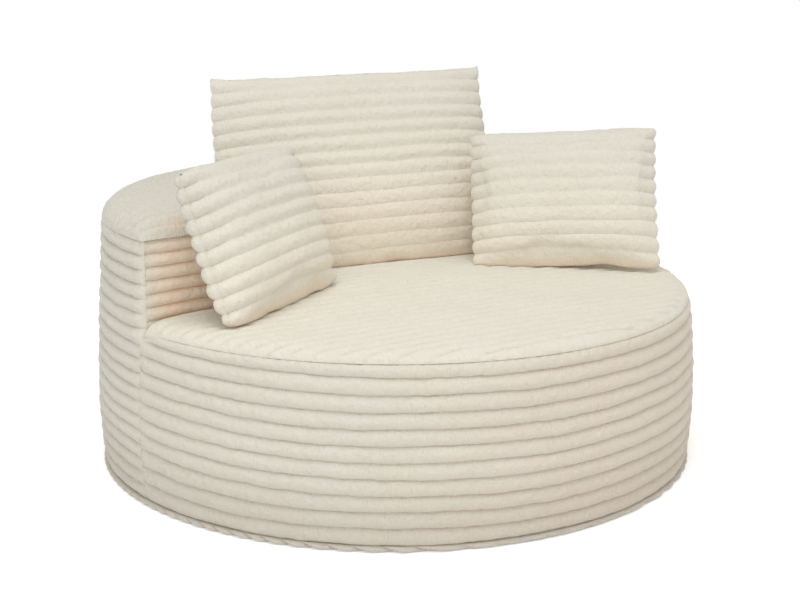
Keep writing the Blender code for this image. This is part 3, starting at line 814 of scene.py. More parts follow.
@dataclass
class Drum:
    """The round cover: front and rear walls, bottom panel and seat panel.

    The back's plan is a hollow circle set forward of the drum's centre, closed by two end faces
    that lie on lines through the centre.
    """

    workshop: Workshop
    hollow_radius: float = 0.412
    hollow_forward: float = 0.085
    tip_angle: float = math.radians(8.5)
    front_ribs: int = 11
    rear_ribs: int = 18
    wall_rib: float = 7.5 * MM
    wall_skin: float = 0.6 * MM
    wall_gap: float = 0.4 * MM
    draw_in_top: float = 8 * MM
    draw_in_foot: float = 3 * MM
    bulge: float = 8 * MM
    bulge_level: float = 0.13
    bulge_spread: float = 0.13
    upper_draw_in: float = 5.5 * MM
    upper_below: float = 20 * MM
    upper_above: float = 90 * MM
    column_step: float = 3.4 * MM
    seam_width: float = 11 * MM
    seam_dip: float = 2.6 * MM
    seam_fade: float = 16 * MM
    seam_unevenness: float = 0.8
    join_below: float = 8 * MM
    join_above: float = 14 * MM
    corner_width: float = 28 * MM
    inner_radius: float = 0.5805
    zip_start: float = math.radians(40)
    zip_end: float = math.radians(140)
    zip_margin: float = math.radians(2)
    notch_height: float = 25 * MM
    notch_outer: float = math.radians(-1.2)
    notch_inner: float = math.radians(0.6)
    seat_gap: float = 0.5 * MM
    seat_inset: float = 1 * MM
    seat_pitch: float = 28.8 * MM
    seat_rib: float = 4.2 * MM
    seat_rim_rib: float = 5.8 * MM
    seat_columns: int = 110
    seat_hollows: float = 2.2 * MM
    seat_calm: float = 30 * MM
    gather_start: float = 10 * MM
    gather_reach: float = 75 * MM
    pucker: float = 1.6 * MM
    seat_seam: float = 9 * MM
    shoulder_width: float = 31 * MM
    tuck_width: float = 13 * MM
    crown: float = 9 * MM
    stitch_pitch: float = 21 * MM
    stitch_depth: float = 2.4 * MM
    stitch_reach: float = 5 * MM
    # Painted shade at the rim seam's stitches, in the crest and in the painted shade value
    stitch_shade: float = 0.7
    stitch_painted_shade: float = 1.5
    lump_pitch: float = 29 * MM
    lump_height: float = 10 * MM
    lump_lift: float = 7 * MM
    lump_slant: float = 0.022
    lip_height: float = 11.5 * MM
    lip_bends: int = 14
    lip_reach: float = 3 * MM
    lip_tuck_in: float = 32 * MM
    lip_frill: float = 0.9 * MM
    lip_wave: float = 1.5 * MM
    top_seam_drop: float = 6 * MM
    rim_rise: float = 10 * MM
    rim_ramp: float = 70 * MM
    rim_round: float = 8 * MM
    rim_tuck: float = 6.5 * MM
    rim_stitch_width: float = 3.5 * MM
    rib_overrun: float = 14.5 * MM
    rib_climb: float = 12.5 * MM
    climb_reach: float = 0.24
    climb_ribs: float = 3
    # Painted light: the wall side that a warm lamp lights is painted warmer and a little darker
    warm_lit_side: float = math.radians(320)
    sunny_warm_light: float = 0.25
    sunny_shade: float = 0.12
    # Painted shade over the walls, and painted shade and warm bounce light towards the foot
    wall_shade: float = 0.4
    foot_shade: float = 0.72
    foot_warm_shade: float = 0.14
    foot_level: float = 10 * MM
    foot_reach: float = 170 * MM
    # Painted shade and warm bounce light over the bottom's turned-up lip
    bottom_shade: float = 1.5
    bottom_warm_shade: float = 0.22

    def __post_init__(self) -> None:
        """Read the drum's main sizes off the frame."""
        self.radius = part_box("rear_wall_panel")[1].x
        self.wall_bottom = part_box("front_wall_panel")[0].z
        self.front_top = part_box("front_wall_panel")[1].z
        self.rear_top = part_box("rear_wall_panel")[1].z - self.top_seam_drop
        seat_low, seat_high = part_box("seat_panel")
        self.seat_bottom = seat_low.z - self.seat_gap
        self.seat_radius = -seat_low.y - self.seat_inset
        self.seat_top = seat_high.z
        self.seat_back = seat_high.y

    def radial(self, radius: float, angle: float, height: float) -> Vector:
        """Return a point from its radius, its angle from +X and its height."""
        return Vector((radius * math.cos(angle), radius * math.sin(angle), height))

    def wall_radius(self, along: float, level: float, drop: float) -> float:
        """Return a wall's outer radius.

        Args:
            along: Share of the wall's height.
            level: Height above the floor.
            drop: How deep the groove is there.

        Returns:
            The radius, in metres.
        """
        limit = self.draw_in_top if along > 0.5 else self.draw_in_foot
        bulge = self.bulge * math.exp(-((level - self.bulge_level) / self.bulge_spread) ** 2)
        upper = self.upper_draw_in * smoothstep(self.front_top - self.upper_below,
                                                self.front_top + self.upper_above, level)
        return self.radius + bulge - upper - limit * (2 * along - 1) ** 4 - drop

    def rim_lift(self, x: float, y: float) -> float:
        """Return how much the rim seam stands above its level beside the back's ends."""
        from_end = (math.pi / 2 - self.tip_angle - math.atan2(abs(x), -y)) * math.hypot(x, y)
        return self.rim_rise * smoothstep(0, self.rim_ramp, from_end)

    def rim_stitch(self, arc: float) -> float:
        """Tell how much painted shade the rim seam's stitch crease gets: dashes, in places faint.

        Args:
            arc: Distance round the front wall.

        Returns:
            1 on a stitch and 0 between two.
        """
        beat = 0.5 + 0.5 * math.sin(arc / self.stitch_pitch * 2 * math.pi)
        uneven = smoothstep(-0.25, 0.3, noise.noise(Vector((arc * 4.5, 6, 19))))
        return smoothstep(0.2, 0.6, beat) * uneven

    def beside_end(self, level: float) -> float:
        """Return 1 where the rear wall ends at an end face and 0 where it meets the front."""
        return smoothstep(self.front_top - self.join_below, self.front_top + self.join_above, level)

    def notch_lift(self, angle: float) -> float:
        """Return 1 over the cover zip's arc and 0 elsewhere."""
        inside = min(angle - self.zip_start, self.zip_end - angle) + self.zip_margin
        return smoothstep(self.notch_outer, self.notch_inner, inside)

    def build_wall(self, name: str, start: float, sweep: float, top: float, ribs: Ribs,
                   count: int, has_notch: bool) -> bpy.types.Object:
        """Build a ribbed wall.

        Args:
            name: The CAD node that it replaces.
            start: Angle of its first end.
            sweep: Angle that it covers.
            top: Height of its upper seam.
            ribs: The ribs that it carries.
            count: How many there are.
            has_notch: True where the cover's zip opens its foot.

        Returns:
            The wall piece.
        """
        rows = count * ribs.samples
        columns = round(sweep * self.radius / self.column_step)
        height = top - self.wall_bottom

        def place(column: int, row: int) -> Spot:
            """Return the wall's spot; the first and the last two rows are its inner face.

            Args:
                column: The grid's column.
                row: The grid's row.

            Returns:
                The spot there.
            """
            share = column / columns
            share -= 0.5 * math.sin(2 * math.pi * share) / (2 * math.pi)
            angle = start + sweep * share
            lift = self.notch_lift(angle) if has_notch else 0
            foot = self.wall_bottom + self.notch_height * lift
            arc = angle * self.radius
            rim = self.radial(self.radius, angle, top)
            rim.z += 0 if has_notch else self.rim_lift(rim.x, rim.y)
            if row in (0, rows + 2):
                return Spot(self.radial(self.inner_radius, angle, foot), Vector((arc, 0, 0)), 0)
            if row == rows + 1:
                point = self.radial(self.inner_radius, angle, rim.z)
                return Spot(point, Vector((arc, height, 0)), 0)
            across, rise = ribs.station(row - 1)
            from_start = (angle - start) * self.radius
            climb = 0 if has_notch else self.rib_climb * math.exp(-from_start / self.climb_reach)
            level = self.wall_bottom + ribs.pitch * across
            level += climb * min(1.0, across / self.climb_ribs)
            if row != 1:
                level += ribs.drift(arc, across)
            cut = (rim.z - self.wall_bottom - climb) / ribs.pitch
            if level > rim.z and row != 1:
                across -= (level - rim.z) / ribs.pitch
                rise = ribs.share(across)
            across = min(across, cut)
            if row - 1 <= ribs.samples:
                squeeze = (row - 1) / ribs.samples
                upper = self.wall_bottom + ribs.pitch + ribs.drift(arc, 1.0)
                level = level * (1 - lift) + lift * (foot + (upper - foot) * squeeze)
                rise *= 1 - 0.75 * lift
            from_end = min(share, 1 - share) * sweep * self.radius
            corner = self.beside_end(level)
            fade = 1 - math.exp(-(from_end / self.seam_fade) ** 2) * (0.45 - 0.1 * corner)
            fade *= 1 - 0.75 * smoothstep(cut - 0.5, cut, across)
            rise = 1 - (1 - rise) * fade
            radius = self.wall_radius(across / count, level, self.wall_rib * (1 - rise))
            radius += ribs.relief(arc, across) * (0.35 + 0.65 * rise)
            seam = self.seam_dip * math.exp(-(from_end / self.seam_width) ** 2) * (1 - corner)
            seam *= 1 + self.seam_unevenness * noise.noise(Vector((angle, level * 70, 3)))
            least = self.inner_radius + self.wall_skin
            radius = max(radius - seam, least)
            turned = 1 - corner + corner * rolled(from_end, self.corner_width)
            radius = least + (radius - least) * turned
            level = min(level, rim.z)
            # Painted shade in the rim seam's crease, in dashes
            stitch = 0
            if not has_notch:
                radius -= self.rim_tuck * (1 - rolled(rim.z - level, self.rim_round))
                stitch = 1 - smoothstep(0, self.rim_stitch_width, rim.z - level)
                stitch *= self.rim_stitch(arc)
            # Painted warm light and painted shade on the side that the warm lamp lights
            sunny = smoothstep(-0.1, 0.8, math.cos(angle - self.warm_lit_side))
            # Painted shade and warm bounce light towards the foot
            low = 1 - smoothstep(self.foot_level, self.foot_reach, level)
            painted_shade = self.wall_shade + self.sunny_shade * sunny + self.stitch_painted_shade * stitch
            return Spot(self.radial(radius, angle, level), Vector((arc, level, 0)),
                        rise - self.stitch_shade * stitch,
                        self.sunny_warm_light * sunny + self.foot_warm_shade * low,
                        painted_shade + self.foot_shade * low)

        made = self.workshop.panel(name, columns, rows + 2, place)
        return made

    def build_walls(self) -> None:
        """Build the front wall and the taller rear wall."""
        gap = self.wall_gap / self.radius
        tip = self.tip_angle
        front_height = self.front_top + self.rib_overrun - self.wall_bottom
        front, rear = (
            Ribs(span / count, self.wall_rib, seed, hang=0.78, wander=2.1 * MM)
            for span, count, seed in ((front_height, self.front_ribs, 3.1),
                                      (self.rear_top - self.wall_bottom, self.rear_ribs, 11.7)))
        self.build_wall("front_wall_panel", math.pi + tip + gap, math.pi - 2 * tip - 2 * gap,
                        self.front_top, front, self.front_ribs, False)
        self.build_wall("rear_wall_panel", -tip, math.pi + 2 * tip, self.rear_top, rear,
                        self.rear_ribs, True)

    def face_distance(self, x: float, y: float) -> float:
        """Tell how far a point of the seat lies in front of the back's faces.

        Args:
            x: The point's place along X.
            y: The point's place along Y.

        Returns:
            The distance, in metres.
        """
        hollow = self.hollow_radius - math.hypot(x, y + self.hollow_forward)
        end_face = -(abs(x) * math.sin(self.tip_angle) + y * math.cos(self.tip_angle))
        return max(hollow, end_face)

    def seat_half_width(self, y: float) -> float:
        """Tell how wide the seat is.

        Args:
            y: Where along Y, across its ribs.

        Returns:
            Half its width there.
        """
        rim = math.sqrt(max(0.0, self.seat_radius ** 2 - y * y))
        if y <= -self.seat_radius * math.sin(self.tip_angle):
            return rim
        hollow = math.sqrt(max(0.0, self.hollow_radius ** 2 - (y + self.hollow_forward) ** 2))
        end_face = -y / math.tan(self.tip_angle) if y < 0 else 0.0
        return min(rim, max(hollow, end_face))

    def seat_height(self, x: float, y: float) -> float:
        """Return the seat's height before its ribs.

        Args:
            x: The point's place along X.
            y: The point's place along Y.

        Returns:
            The height above the floor.
        """
        radius = math.hypot(x, y)
        rim = rolled(self.seat_radius - radius, self.shoulder_width)
        tuck = rolled(self.face_distance(x, y), self.tuck_width)
        base = self.seat_bottom + self.rim_lift(x, y)
        full = self.seat_top - base - self.crown
        crown = self.crown * max(0.0, 1 - (radius / self.seat_radius) ** 2)
        hollows = self.seat_hollows * noise.noise(Vector((x * 5.5, y * 5.5, 31.0)))
        return base + (full + crown + hollows * rim) * rim * tuck

    def seat_normal(self, x: float, y: float) -> Vector:
        """Return the seat's outward direction before its ribs.

        Args:
            x: The point's place along X.
            y: The point's place along Y.

        Returns:
            The unit direction.
        """
        step = SLOPE_STEP
        slope_x = (self.seat_height(x + step, y) - self.seat_height(x - step, y)) / (2 * step)
        slope_y = (self.seat_height(x, y + step) - self.seat_height(x, y - step)) / (2 * step)
        return Vector((-slope_x, -slope_y, 1)).normalized()

    def stitch(self, x: float, y: float, inside: float) -> float:
        """Tell how deep the rim seam's stitch holes are at a point of the seat.

        Args:
            x: The point's place along X.
            y: The point's place along Y.
            inside: Its distance from the seat's rim.

        Returns:
            The share of a stitch hole's depth.
        """
        arc = math.atan2(y, x) * self.seat_radius
        beat = 0.5 + 0.5 * math.sin(arc / self.stitch_pitch * 2 * math.pi)
        uneven = smoothstep(-0.1, 0.35, noise.noise(Vector((x * 14, y * 14, 19))))
        return 0.9 * beat ** 3 * uneven * (1 - smoothstep(0, self.stitch_reach, inside))

    def build_seat(self) -> bpy.types.Object:
        """Build the crowned seat panel, its ribs straight across the chair.

        Returns:
            The seat panel.
        """
        ribs = Ribs(self.seat_pitch, self.seat_rib, 23.5, samples=8, wander=1.8 * MM,
                    swell=0.7 * MM, tuft=0.4 * MM)
        span = self.seat_radius + self.seat_back
        rows = math.ceil(span / ribs.pitch) * ribs.samples

        def place(column: int, row: int) -> Spot:
            """Return the seat's spot.

            Args:
                column: The grid's column.
                row: The grid's row.

            Returns:
                The spot there.
            """
            across, rise = ribs.station(row)
            y = min(self.seat_back, across * ribs.pitch - self.seat_radius)
            half = self.seat_half_width(y)
            share = math.sin((2 * column / self.seat_columns - 1) * math.pi / 2)
            x = half * share
            if column in (0, self.seat_columns) or row == 0 or y >= self.seat_back:
                point = Vector((x, y, self.seat_bottom + self.rim_lift(x, y)))
                # Painted shade along the seam at the seat's edge
                return Spot(point, Vector((x, y, 0)), 0.8)
            y_run = y + ribs.drift(x, across) * smoothstep(0, self.seat_calm, half - abs(x))
            y_run = min(self.seat_back, max(-self.seat_radius, y_run))
            inside = self.seat_radius - math.hypot(x, y_run)
            near_rim = 1 - smoothstep(self.gather_start, self.gather_reach, inside)
            height = self.seat_rib + (self.seat_rim_rib - self.seat_rib) * near_rim
            seam = smoothstep(0, self.seat_seam, min(inside, self.face_distance(x, y_run)))
            fold = noise.noise(Vector((math.atan2(y, x) * 26, inside * 12, 5)))
            pucker = self.pucker * near_rim * fold
            stitch = self.stitch(x, y, inside)
            out = ((rise - 1) * height + ribs.relief(x, across) + pucker) * seam
            out -= self.stitch_depth * stitch
            point = Vector((x, y_run, self.seat_height(x, y_run)))
            # Painted shade in the grooves, deeper near the rim, and in the stitch holes
            crest = 1 - (1 - rise) * (0.42 + 0.42 * near_rim) - stitch
            return Spot(point + self.seat_normal(x, y_run) * out, Vector((x, y, 0)), crest)

        made = self.workshop.panel("seat_panel", self.seat_columns, rows, place)
        return made

    def build_bottom(self) -> None:
        """Build the bottom panel, its rib ends turned up as lumps round the foot."""
        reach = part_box("bottom_panel")[1].x
        columns = round(2 * math.pi * reach / self.column_step)
        bends = self.lip_bends
        half = self.lip_height / 2

        def place(column: int, row: int) -> Spot:
            """Return the bottom's spot, from its upper edge to its lower one.

            Args:
                column: The grid's column.
                row: The grid's row.

            Returns:
                The spot there.
            """
            angle = 2 * math.pi * column / columns
            turn = math.pi * row / bends
            side = 1 if math.cos(angle) < 0 else -1
            slant = angle + self.lump_slant * math.cos(turn) * side
            uneven = 0.22 * noise.noise(Vector((math.cos(angle) * 9, math.sin(angle) * 9, 43)))
            across = reach * math.sin(slant) / self.lump_pitch + uneven + 0.3
            rise = abs(math.sin(math.pi * across)) ** 0.7
            crossing = smoothstep(0.12, 0.5, abs(math.cos(angle)))
            frill = noise.noise(Vector((math.cos(angle) * 40, math.sin(angle) * 40, row * 0.3)))
            lump = self.lump_height * (crossing * (rise - 0.6) + (1 - crossing) * 0.35 * frill)
            bulge = (half + lump + self.lip_frill * frill) * math.sin(turn)
            radius = reach - half + bulge + self.lip_reach
            if row in (0, bends):
                radius = reach - self.lip_tuck_in
            wave = self.lip_wave * frill * math.sin(turn) ** 2
            height = max(0.0, half + half * math.cos(turn) * 0.98 + wave)
            height += self.lump_lift * (1 - rise) * crossing * math.sin(turn) * row / bends
            if row == bends:
                height = 0.0
            point = self.radial(radius, angle, height)
            # Painted shade in the lumps' grooves and towards the seam above the lip
            crest = 0.75 - 0.6 * crossing * (1 - rise) - 0.35 * smoothstep(0.5, 0.1, row / bends)
            return Spot(point, Vector((angle * reach, height, 0)), crest,
                        self.bottom_warm_shade, self.bottom_shade)

        made = self.workshop.panel("bottom_panel", columns, bends, place)

    def build(self) -> bpy.types.Object:
        """Build the drum's panels.

        Returns:
            The seat panel, which pillows rest on.
        """
        self.build_walls()
        self.build_bottom()
        return self.build_seat()


@dataclass
class Back:
    """The crescent back's inner panel and top panel."""

    workshop: Workshop
    drum: Drum
    inner_ribs: int = 7
    inner_rib: float = 7 * MM
    inner_depth: float = 17 * MM
    inner_least: float = 1 * MM
    inner_seam: float = 12 * MM
    inner_top_tuck: float = 2.5 * MM
    inner_warm_shade_reach: float = 60 * MM
    path_step: float = 4.5 * MM
    path_overrun: float = 0.3 * MM
    corner_passes: int = 22
    top_pitch: float = 28.8 * MM
    top_rib: float = 3.0 * MM
    top_rim_rib: float = 7.5 * MM
    top_seam: float = 8 * MM
    # Painted shade over the top, as on the pillows' upper parts
    top_shade: float = 1.05
    top_seam_shade: float = 0.9
    end_level: float = -75 * MM
    top_columns: int = 430
    top_rows: int = 64
    top_crown: float = 12 * MM
    top_wave: float = 1.8 * MM
    rim_draw_in: float = 5 * MM
    outer_roll: float = 66 * MM
    inner_roll: float = 42 * MM
    end_roll: float = 48 * MM
    end_turn: tuple = (45 * MM, 130 * MM)
    rim_zone: tuple = (10 * MM, 60 * MM)
    end_zone: tuple = (25 * MM, 70 * MM)
    lip_zone: tuple = (9 * MM, 24 * MM)
    lip_warm_shade_zone: tuple = (15 * MM, 90 * MM)

    def face_path(self) -> np.ndarray:
        """Lay out the plan of the end faces and the hollow.

        Returns:
            Evenly spaced points from the right end to the left one, corners eased.
        """
        drum = self.drum
        tip = drum.tip_angle
        centre = np.array((0.0, -drum.hollow_forward))
        along = np.array((math.cos(tip), -math.sin(tip)))
        half = -centre @ along
        reach = -half + math.sqrt(half * half - centre @ centre + drum.hollow_radius ** 2)
        corner = along * reach
        first = math.atan2(corner[1] - centre[1], corner[0])
        end_steps = max(2, round((drum.inner_radius - reach) / self.path_step))
        arc_steps = round((math.pi - 2 * first) * drum.hollow_radius / self.path_step)
        rim = along * (drum.inner_radius + self.path_overrun)
        right = [rim + (corner - rim) * i / end_steps for i in range(end_steps)]
        angles = [first + (math.pi - 2 * first) * i / arc_steps for i in range(arc_steps + 1)]
        hollow = [centre + drum.hollow_radius * np.array((math.cos(a), math.sin(a)))
                  for a in angles]
        left = [np.array((-p[0], p[1])) for p in reversed(right)]
        path = np.array(right + hollow + left)
        for _ in range(self.corner_passes):
            path[1:-1] = (path[:-2] + 2 * path[1:-1] + path[2:]) / 4
        return path

    def build_inner(self) -> bpy.types.Object:
        """Build the ribbed panel over the hollow and both end faces.

        Returns:
            The inner panel, which pillows lean on.
        """
        low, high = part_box("back_inner_panel")
        high.z = self.drum.rear_top
        ribs = Ribs((high.z - low.z) / self.inner_ribs, self.inner_rib, 57.0, hang=0.8)
        path = self.face_path()
        tangent = np.gradient(path, axis=0)
        tangent /= np.linalg.norm(tangent, axis=1)[:, None]
        inward = np.stack((tangent[:, 1], -tangent[:, 0]), axis=1)
        arc = np.concatenate(((0,), np.cumsum(np.linalg.norm(np.diff(path, axis=0), axis=1))))
        rows = self.inner_ribs * ribs.samples

        def place(column: int, row: int) -> Spot:
            """Return the panel's spot; the first and the last two rows are its rear face.

            Args:
                column: The grid's column.
                row: The grid's row.

            Returns:
                The spot there.
            """
            base = Vector(path[column])
            way = Vector(inward[column])
            along = arc[column]
            rear = base + way * self.inner_depth
            if row in (0, rows + 2):
                return Spot(Vector((*rear, low.z)), Vector((along, 0, 0)), 0)
            if row == rows + 1:
                return Spot(Vector((*rear, high.z)), Vector((along, 0.2, 0)), 0)
            across, rise = ribs.station(row - 1)
            level = low.z + ribs.pitch * across
            if row > 1:
                level += ribs.drift(along, across) * smoothstep(0, 1, self.inner_ribs - across)
            from_end = min(along, arc[-1] - along)
            rise = 1 - (1 - rise) * (1 - 0.5 * math.exp(-(from_end / self.inner_seam) ** 2))
            depth = ribs.height * (1 - rise) - ribs.relief(along, across) * (0.3 + 0.7 * rise)
            depth += self.inner_top_tuck * (across / self.inner_ribs) ** 6
            point = base + way * min(depth, self.inner_depth - self.inner_least)
            # Painted warm bounce light in the hollow's shade, strongest away from the ends and low
            # down
            warm_shade = 0.3 + 0.7 * smoothstep(0, self.inner_warm_shade_reach, from_end)
            warm_shade *= 1 - 0.35 * across / self.inner_ribs
            # Painted shade in the grooves
            crest = 1 - 0.88 * (1 - rise)
            return Spot(Vector((*point, level)), Vector((along, level, 0)), crest, warm_shade)

        made = self.workshop.panel("back_inner_panel", len(path) - 1, rows + 2, place)
        return made

    def hollow_reach(self, angle: float) -> float:
        """Tell how far the hollow's wall lies from the drum's centre.

        Args:
            angle: The direction from the centre.

        Returns:
            The distance, in metres.
        """
        drum = self.drum
        lean = -drum.hollow_forward * math.sin(angle)
        return lean + math.sqrt(lean * lean - drum.hollow_forward ** 2 + drum.hollow_radius ** 2)

    def build_top(self) -> bpy.types.Object:
        """Build the flat crescent top, rolled over at its rim.

        Returns:
            The top panel, which pillows lean on.
        """
        drum = self.drum
        low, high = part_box("back_top_panel")
        low.z = drum.rear_top
        ribs = Ribs(self.top_pitch, self.top_rib, 71.0, swell=0.8 * MM)
        outer = high.y - self.rim_draw_in
        thickness = high.z - low.z
        sweep = math.pi + 2 * drum.tip_angle

        def end_distance(radius: float, angle: float) -> float:
            """Return how far a point lies from the nearer end face."""
            return min(angle + drum.tip_angle, sweep - drum.tip_angle - angle) * radius

        def base_height(radius: float, angle: float) -> float:
            """Return the top's height before its ribs.

            Args:
                radius: The point's distance from the drum's centre.
                angle: Its angle from +X.

            Returns:
                The height above the floor.
            """
            roll = rolled(outer - radius, self.outer_roll)
            roll *= rolled(radius - self.hollow_reach(angle), self.inner_roll)
            roll *= rolled(end_distance(radius, angle), self.end_roll)
            wave = self.top_wave * noise.noise(Vector((radius * 9, angle * 3.2, 77.0)))
            return low.z + (thickness + self.top_crown + wave) * roll

        def place(column: int, row: int) -> Spot:
            """Return the top's spot; its outline lies flat on the seam.

            Args:
                column: The grid's column.
                row: The grid's row.

            Returns:
                The spot there.
            """
            share = (1 - math.cos(math.pi * column / self.top_columns)) / 2
            share = 0.75 * column / self.top_columns + 0.25 * share
            angle = sweep * share - drum.tip_angle
            reach = self.hollow_reach(angle)
            depth = 0.5 - 0.5 * math.cos(math.pi * row / self.top_rows)
            depth = 0.5 * depth + 0.5 * row / self.top_rows
            radius = reach + (outer - reach) * depth
            point = drum.radial(radius, angle, low.z)
            if column in (0, self.top_columns) or row in (0, self.top_rows):
                # Painted shade along the top's seams
                return Spot(point, Vector((point.x, point.y, 0)), 0.8, 0, self.top_seam_shade)
            from_end = end_distance(radius, angle)
            over_edge = math.hypot(from_end, base_height(radius, angle) - low.z)
            level = point.y - self.end_level
            level += (over_edge - level) * (1 - smoothstep(*self.end_turn, from_end))
            across = (level + ribs.drift(point.x, level / ribs.pitch)) / ribs.pitch
            rise = ribs.share(across)
            near_rim = max(1 - smoothstep(*self.rim_zone, outer - radius),
                           1 - smoothstep(*self.end_zone, from_end))
            height = self.top_rib + (self.top_rim_rib - self.top_rib) * near_rim
            seam = smoothstep(0, self.top_seam, min(outer - radius, radius - reach, from_end))
            step = SLOPE_STEP
            rising = base_height(radius + step, angle) - base_height(radius - step, angle)
            slope = rising / (2 * step)
            normal = Vector((-slope * math.cos(angle), -slope * math.sin(angle), 1)).normalized()
            out = ((rise - 1) * height + ribs.relief(point.x, across)) * seam
            point.z = base_height(radius, angle)
            # Painted shade in the grooves near the rim and the ends, and painted warm bounce light
            # on the lip
            lip = 1 - smoothstep(*self.lip_zone, from_end)
            crest = 1 - (1 - rise) * (0.4 + 0.4 * near_rim + 0.4 * lip)
            warm_shade = 0.6 * lip * smoothstep(*self.lip_warm_shade_zone, outer - radius)
            return Spot(point + normal * out, Vector((point.x, point.y, 0)), crest, warm_shade,
                        # Painted shade over the whole top
                        self.top_shade)

        made = self.workshop.panel("back_top_panel", self.top_columns, self.top_rows, place)
        return made


@dataclass
class ZipChain:
    """A closed zip's teeth: two rows that mesh along its middle."""

    workshop: Workshop
    pitch: float = 2.6 * MM
    tooth_length: float = 1.6 * MM
    tooth_depth: float = 1.8 * MM
    tooth_reach: float = 3.0 * MM
    side_offset: float = 0.95 * MM
    edge: float = 0.4 * MM

    def build(self, node: str, body: str, length: float,
              frame_at: Callable[[float], Matrix]) -> None:
        """Build the chain that stands for a CAD node.

        Args:
            node: The CAD node that it replaces.
            body: The CAD body that carries it.
            length: How long it is.
            frame_at: Gives the frame at a distance along it: X along, Y outwards, Z across.
        """
        bm = bmesh.new()
        size = Matrix.Diagonal((self.tooth_length, self.tooth_depth, self.tooth_reach, 1))
        for index in range(2 * int(length / self.pitch)):
            shift = Matrix.Translation((0, 0, self.side_offset * (1 if index % 2 else -1)))
            frame = frame_at((index + 0.5) * self.pitch / 2)
            bmesh.ops.create_cube(bm, size=1, matrix=frame @ shift @ size)
        bmesh.ops.bevel(bm, geom=bm.edges[:], offset=self.edge, segments=1, profile=0.5,
                        affect="EDGES", material=-1)
        bmesh.ops.recalc_face_normals(bm, faces=bm.faces)
        self.workshop.piece(node + "_teeth", bm, Slot.ZIP_CHAIN, body, (node,))


@dataclass
class CoverZip:
    """The zip in the drum's rear foot seam: two woven tapes and the chain between them."""

    workshop: Workshop
    step: float = 4 * MM
    tape_thickness: float = 1.3 * MM
    bead_share: float = 0.18
    bead_foot: float = 1.6
    web_share: float = 0.72

    @staticmethod
    def arc(node: str) -> tuple[np.ndarray, ...]:
        """Measure a node that runs round the drum.

        Args:
            node: The CAD node's name.

        Returns:
            The least and greatest angle, radius and height.
        """
        points = node_points(node)
        angle = np.arctan2(points[:, 1], points[:, 0])
        radius = np.hypot(points[:, 0], points[:, 1])
        return tuple(np.array((values.min(), values.max()))
                     for values in (angle, radius, points[:, 2]))

    def build_tape(self, node: str) -> None:
        """Build one tape as a swept strip with a bead along both edges.

        Args:
            node: The CAD node that it replaces.
        """
        angle, radius, height = self.arc(node)
        sweep = angle[1] - angle[0]
        columns = round(sweep * radius[1] / self.step)
        inner, outer = radius[1] - self.tape_thickness, radius[1]
        edge, foot, web = self.bead_share, self.bead_share * self.bead_foot, self.web_share
        outline = ((0, 0), (0, 1), (edge, 1), (foot, web), (1 - foot, web), (1 - edge, 1), (1, 1),
                   (1, 0))

        def place(column: int, row: int) -> Spot:
            """Return the tape's spot round its section.

            Args:
                column: The grid's column.
                row: The grid's row.

            Returns:
                The spot there.
            """
            turn = angle[0] + sweep * column / columns
            up, out = outline[row % len(outline)]
            level = height[0] + (height[1] - height[0]) * up
            reach = inner + (outer - inner) * out
            point = Vector((reach * math.cos(turn), reach * math.sin(turn), level))
            return Spot(point, Vector((turn * outer, level, 0)), 1)

        bm = self.workshop.grid(columns, len(outline), place)
        self.workshop.close(bm)
        self.workshop.piece(node + "_weave", bm, Slot.ZIP_TAPE, "chair", (node,))

    def build(self) -> None:
        """Build the tapes and the chain."""
        self.build_tape("cover_zip_tape_lower")
        self.build_tape("cover_zip_tape_upper")
        angle, radius, height = self.arc("cover_zip_chain")
        middle, level = radius.mean(), height.mean()

        def frame_at(along: float) -> Matrix:
            """Return the chain's frame.

            Args:
                along: Distance along its arc.

            Returns:
                The frame there.
            """
            turn = angle[0] + along / middle
            place = Vector((middle * math.cos(turn), middle * math.sin(turn), level))
            return Matrix.Translation(place) @ Matrix.Rotation(turn - math.pi / 2, 4, "Z")

        chain = ZipChain(self.workshop)
        chain.build("cover_zip_chain", "chair", (angle[1] - angle[0]) * middle, frame_at)


class Obstacles:
    """Finished pieces that a pillow rests on or leans against."""

    def __init__(self, pieces: list[bpy.types.Object]) -> None:
        """Keep one search tree for each piece.

        Args:
            pieces: The pieces to keep clear of.
        """
        self.trees = []
        for piece in pieces:
            bm = bmesh.new()
            bm.from_mesh(piece.data)
            self.trees.append(BVHTree.FromBMesh(bm))
            bm.free()

    def clear(self, point: Vector, gap: float, reach: float) -> Vector:
        """Push a point out of the pieces.

        Args:
            point: The point to test.
            gap: The distance that it has to keep.
            reach: How deep inside a piece it may be.

        Returns:
            The point, moved to the gap's distance where it was nearer.
        """
        for tree in self.trees:
            near, normal, _, distance = tree.find_nearest(point, reach)
            if near is None:
                continue
            height = (point - near).dot(normal)
            if height < gap and (height < 0 or distance < gap):
                point = near + normal * gap
        return point


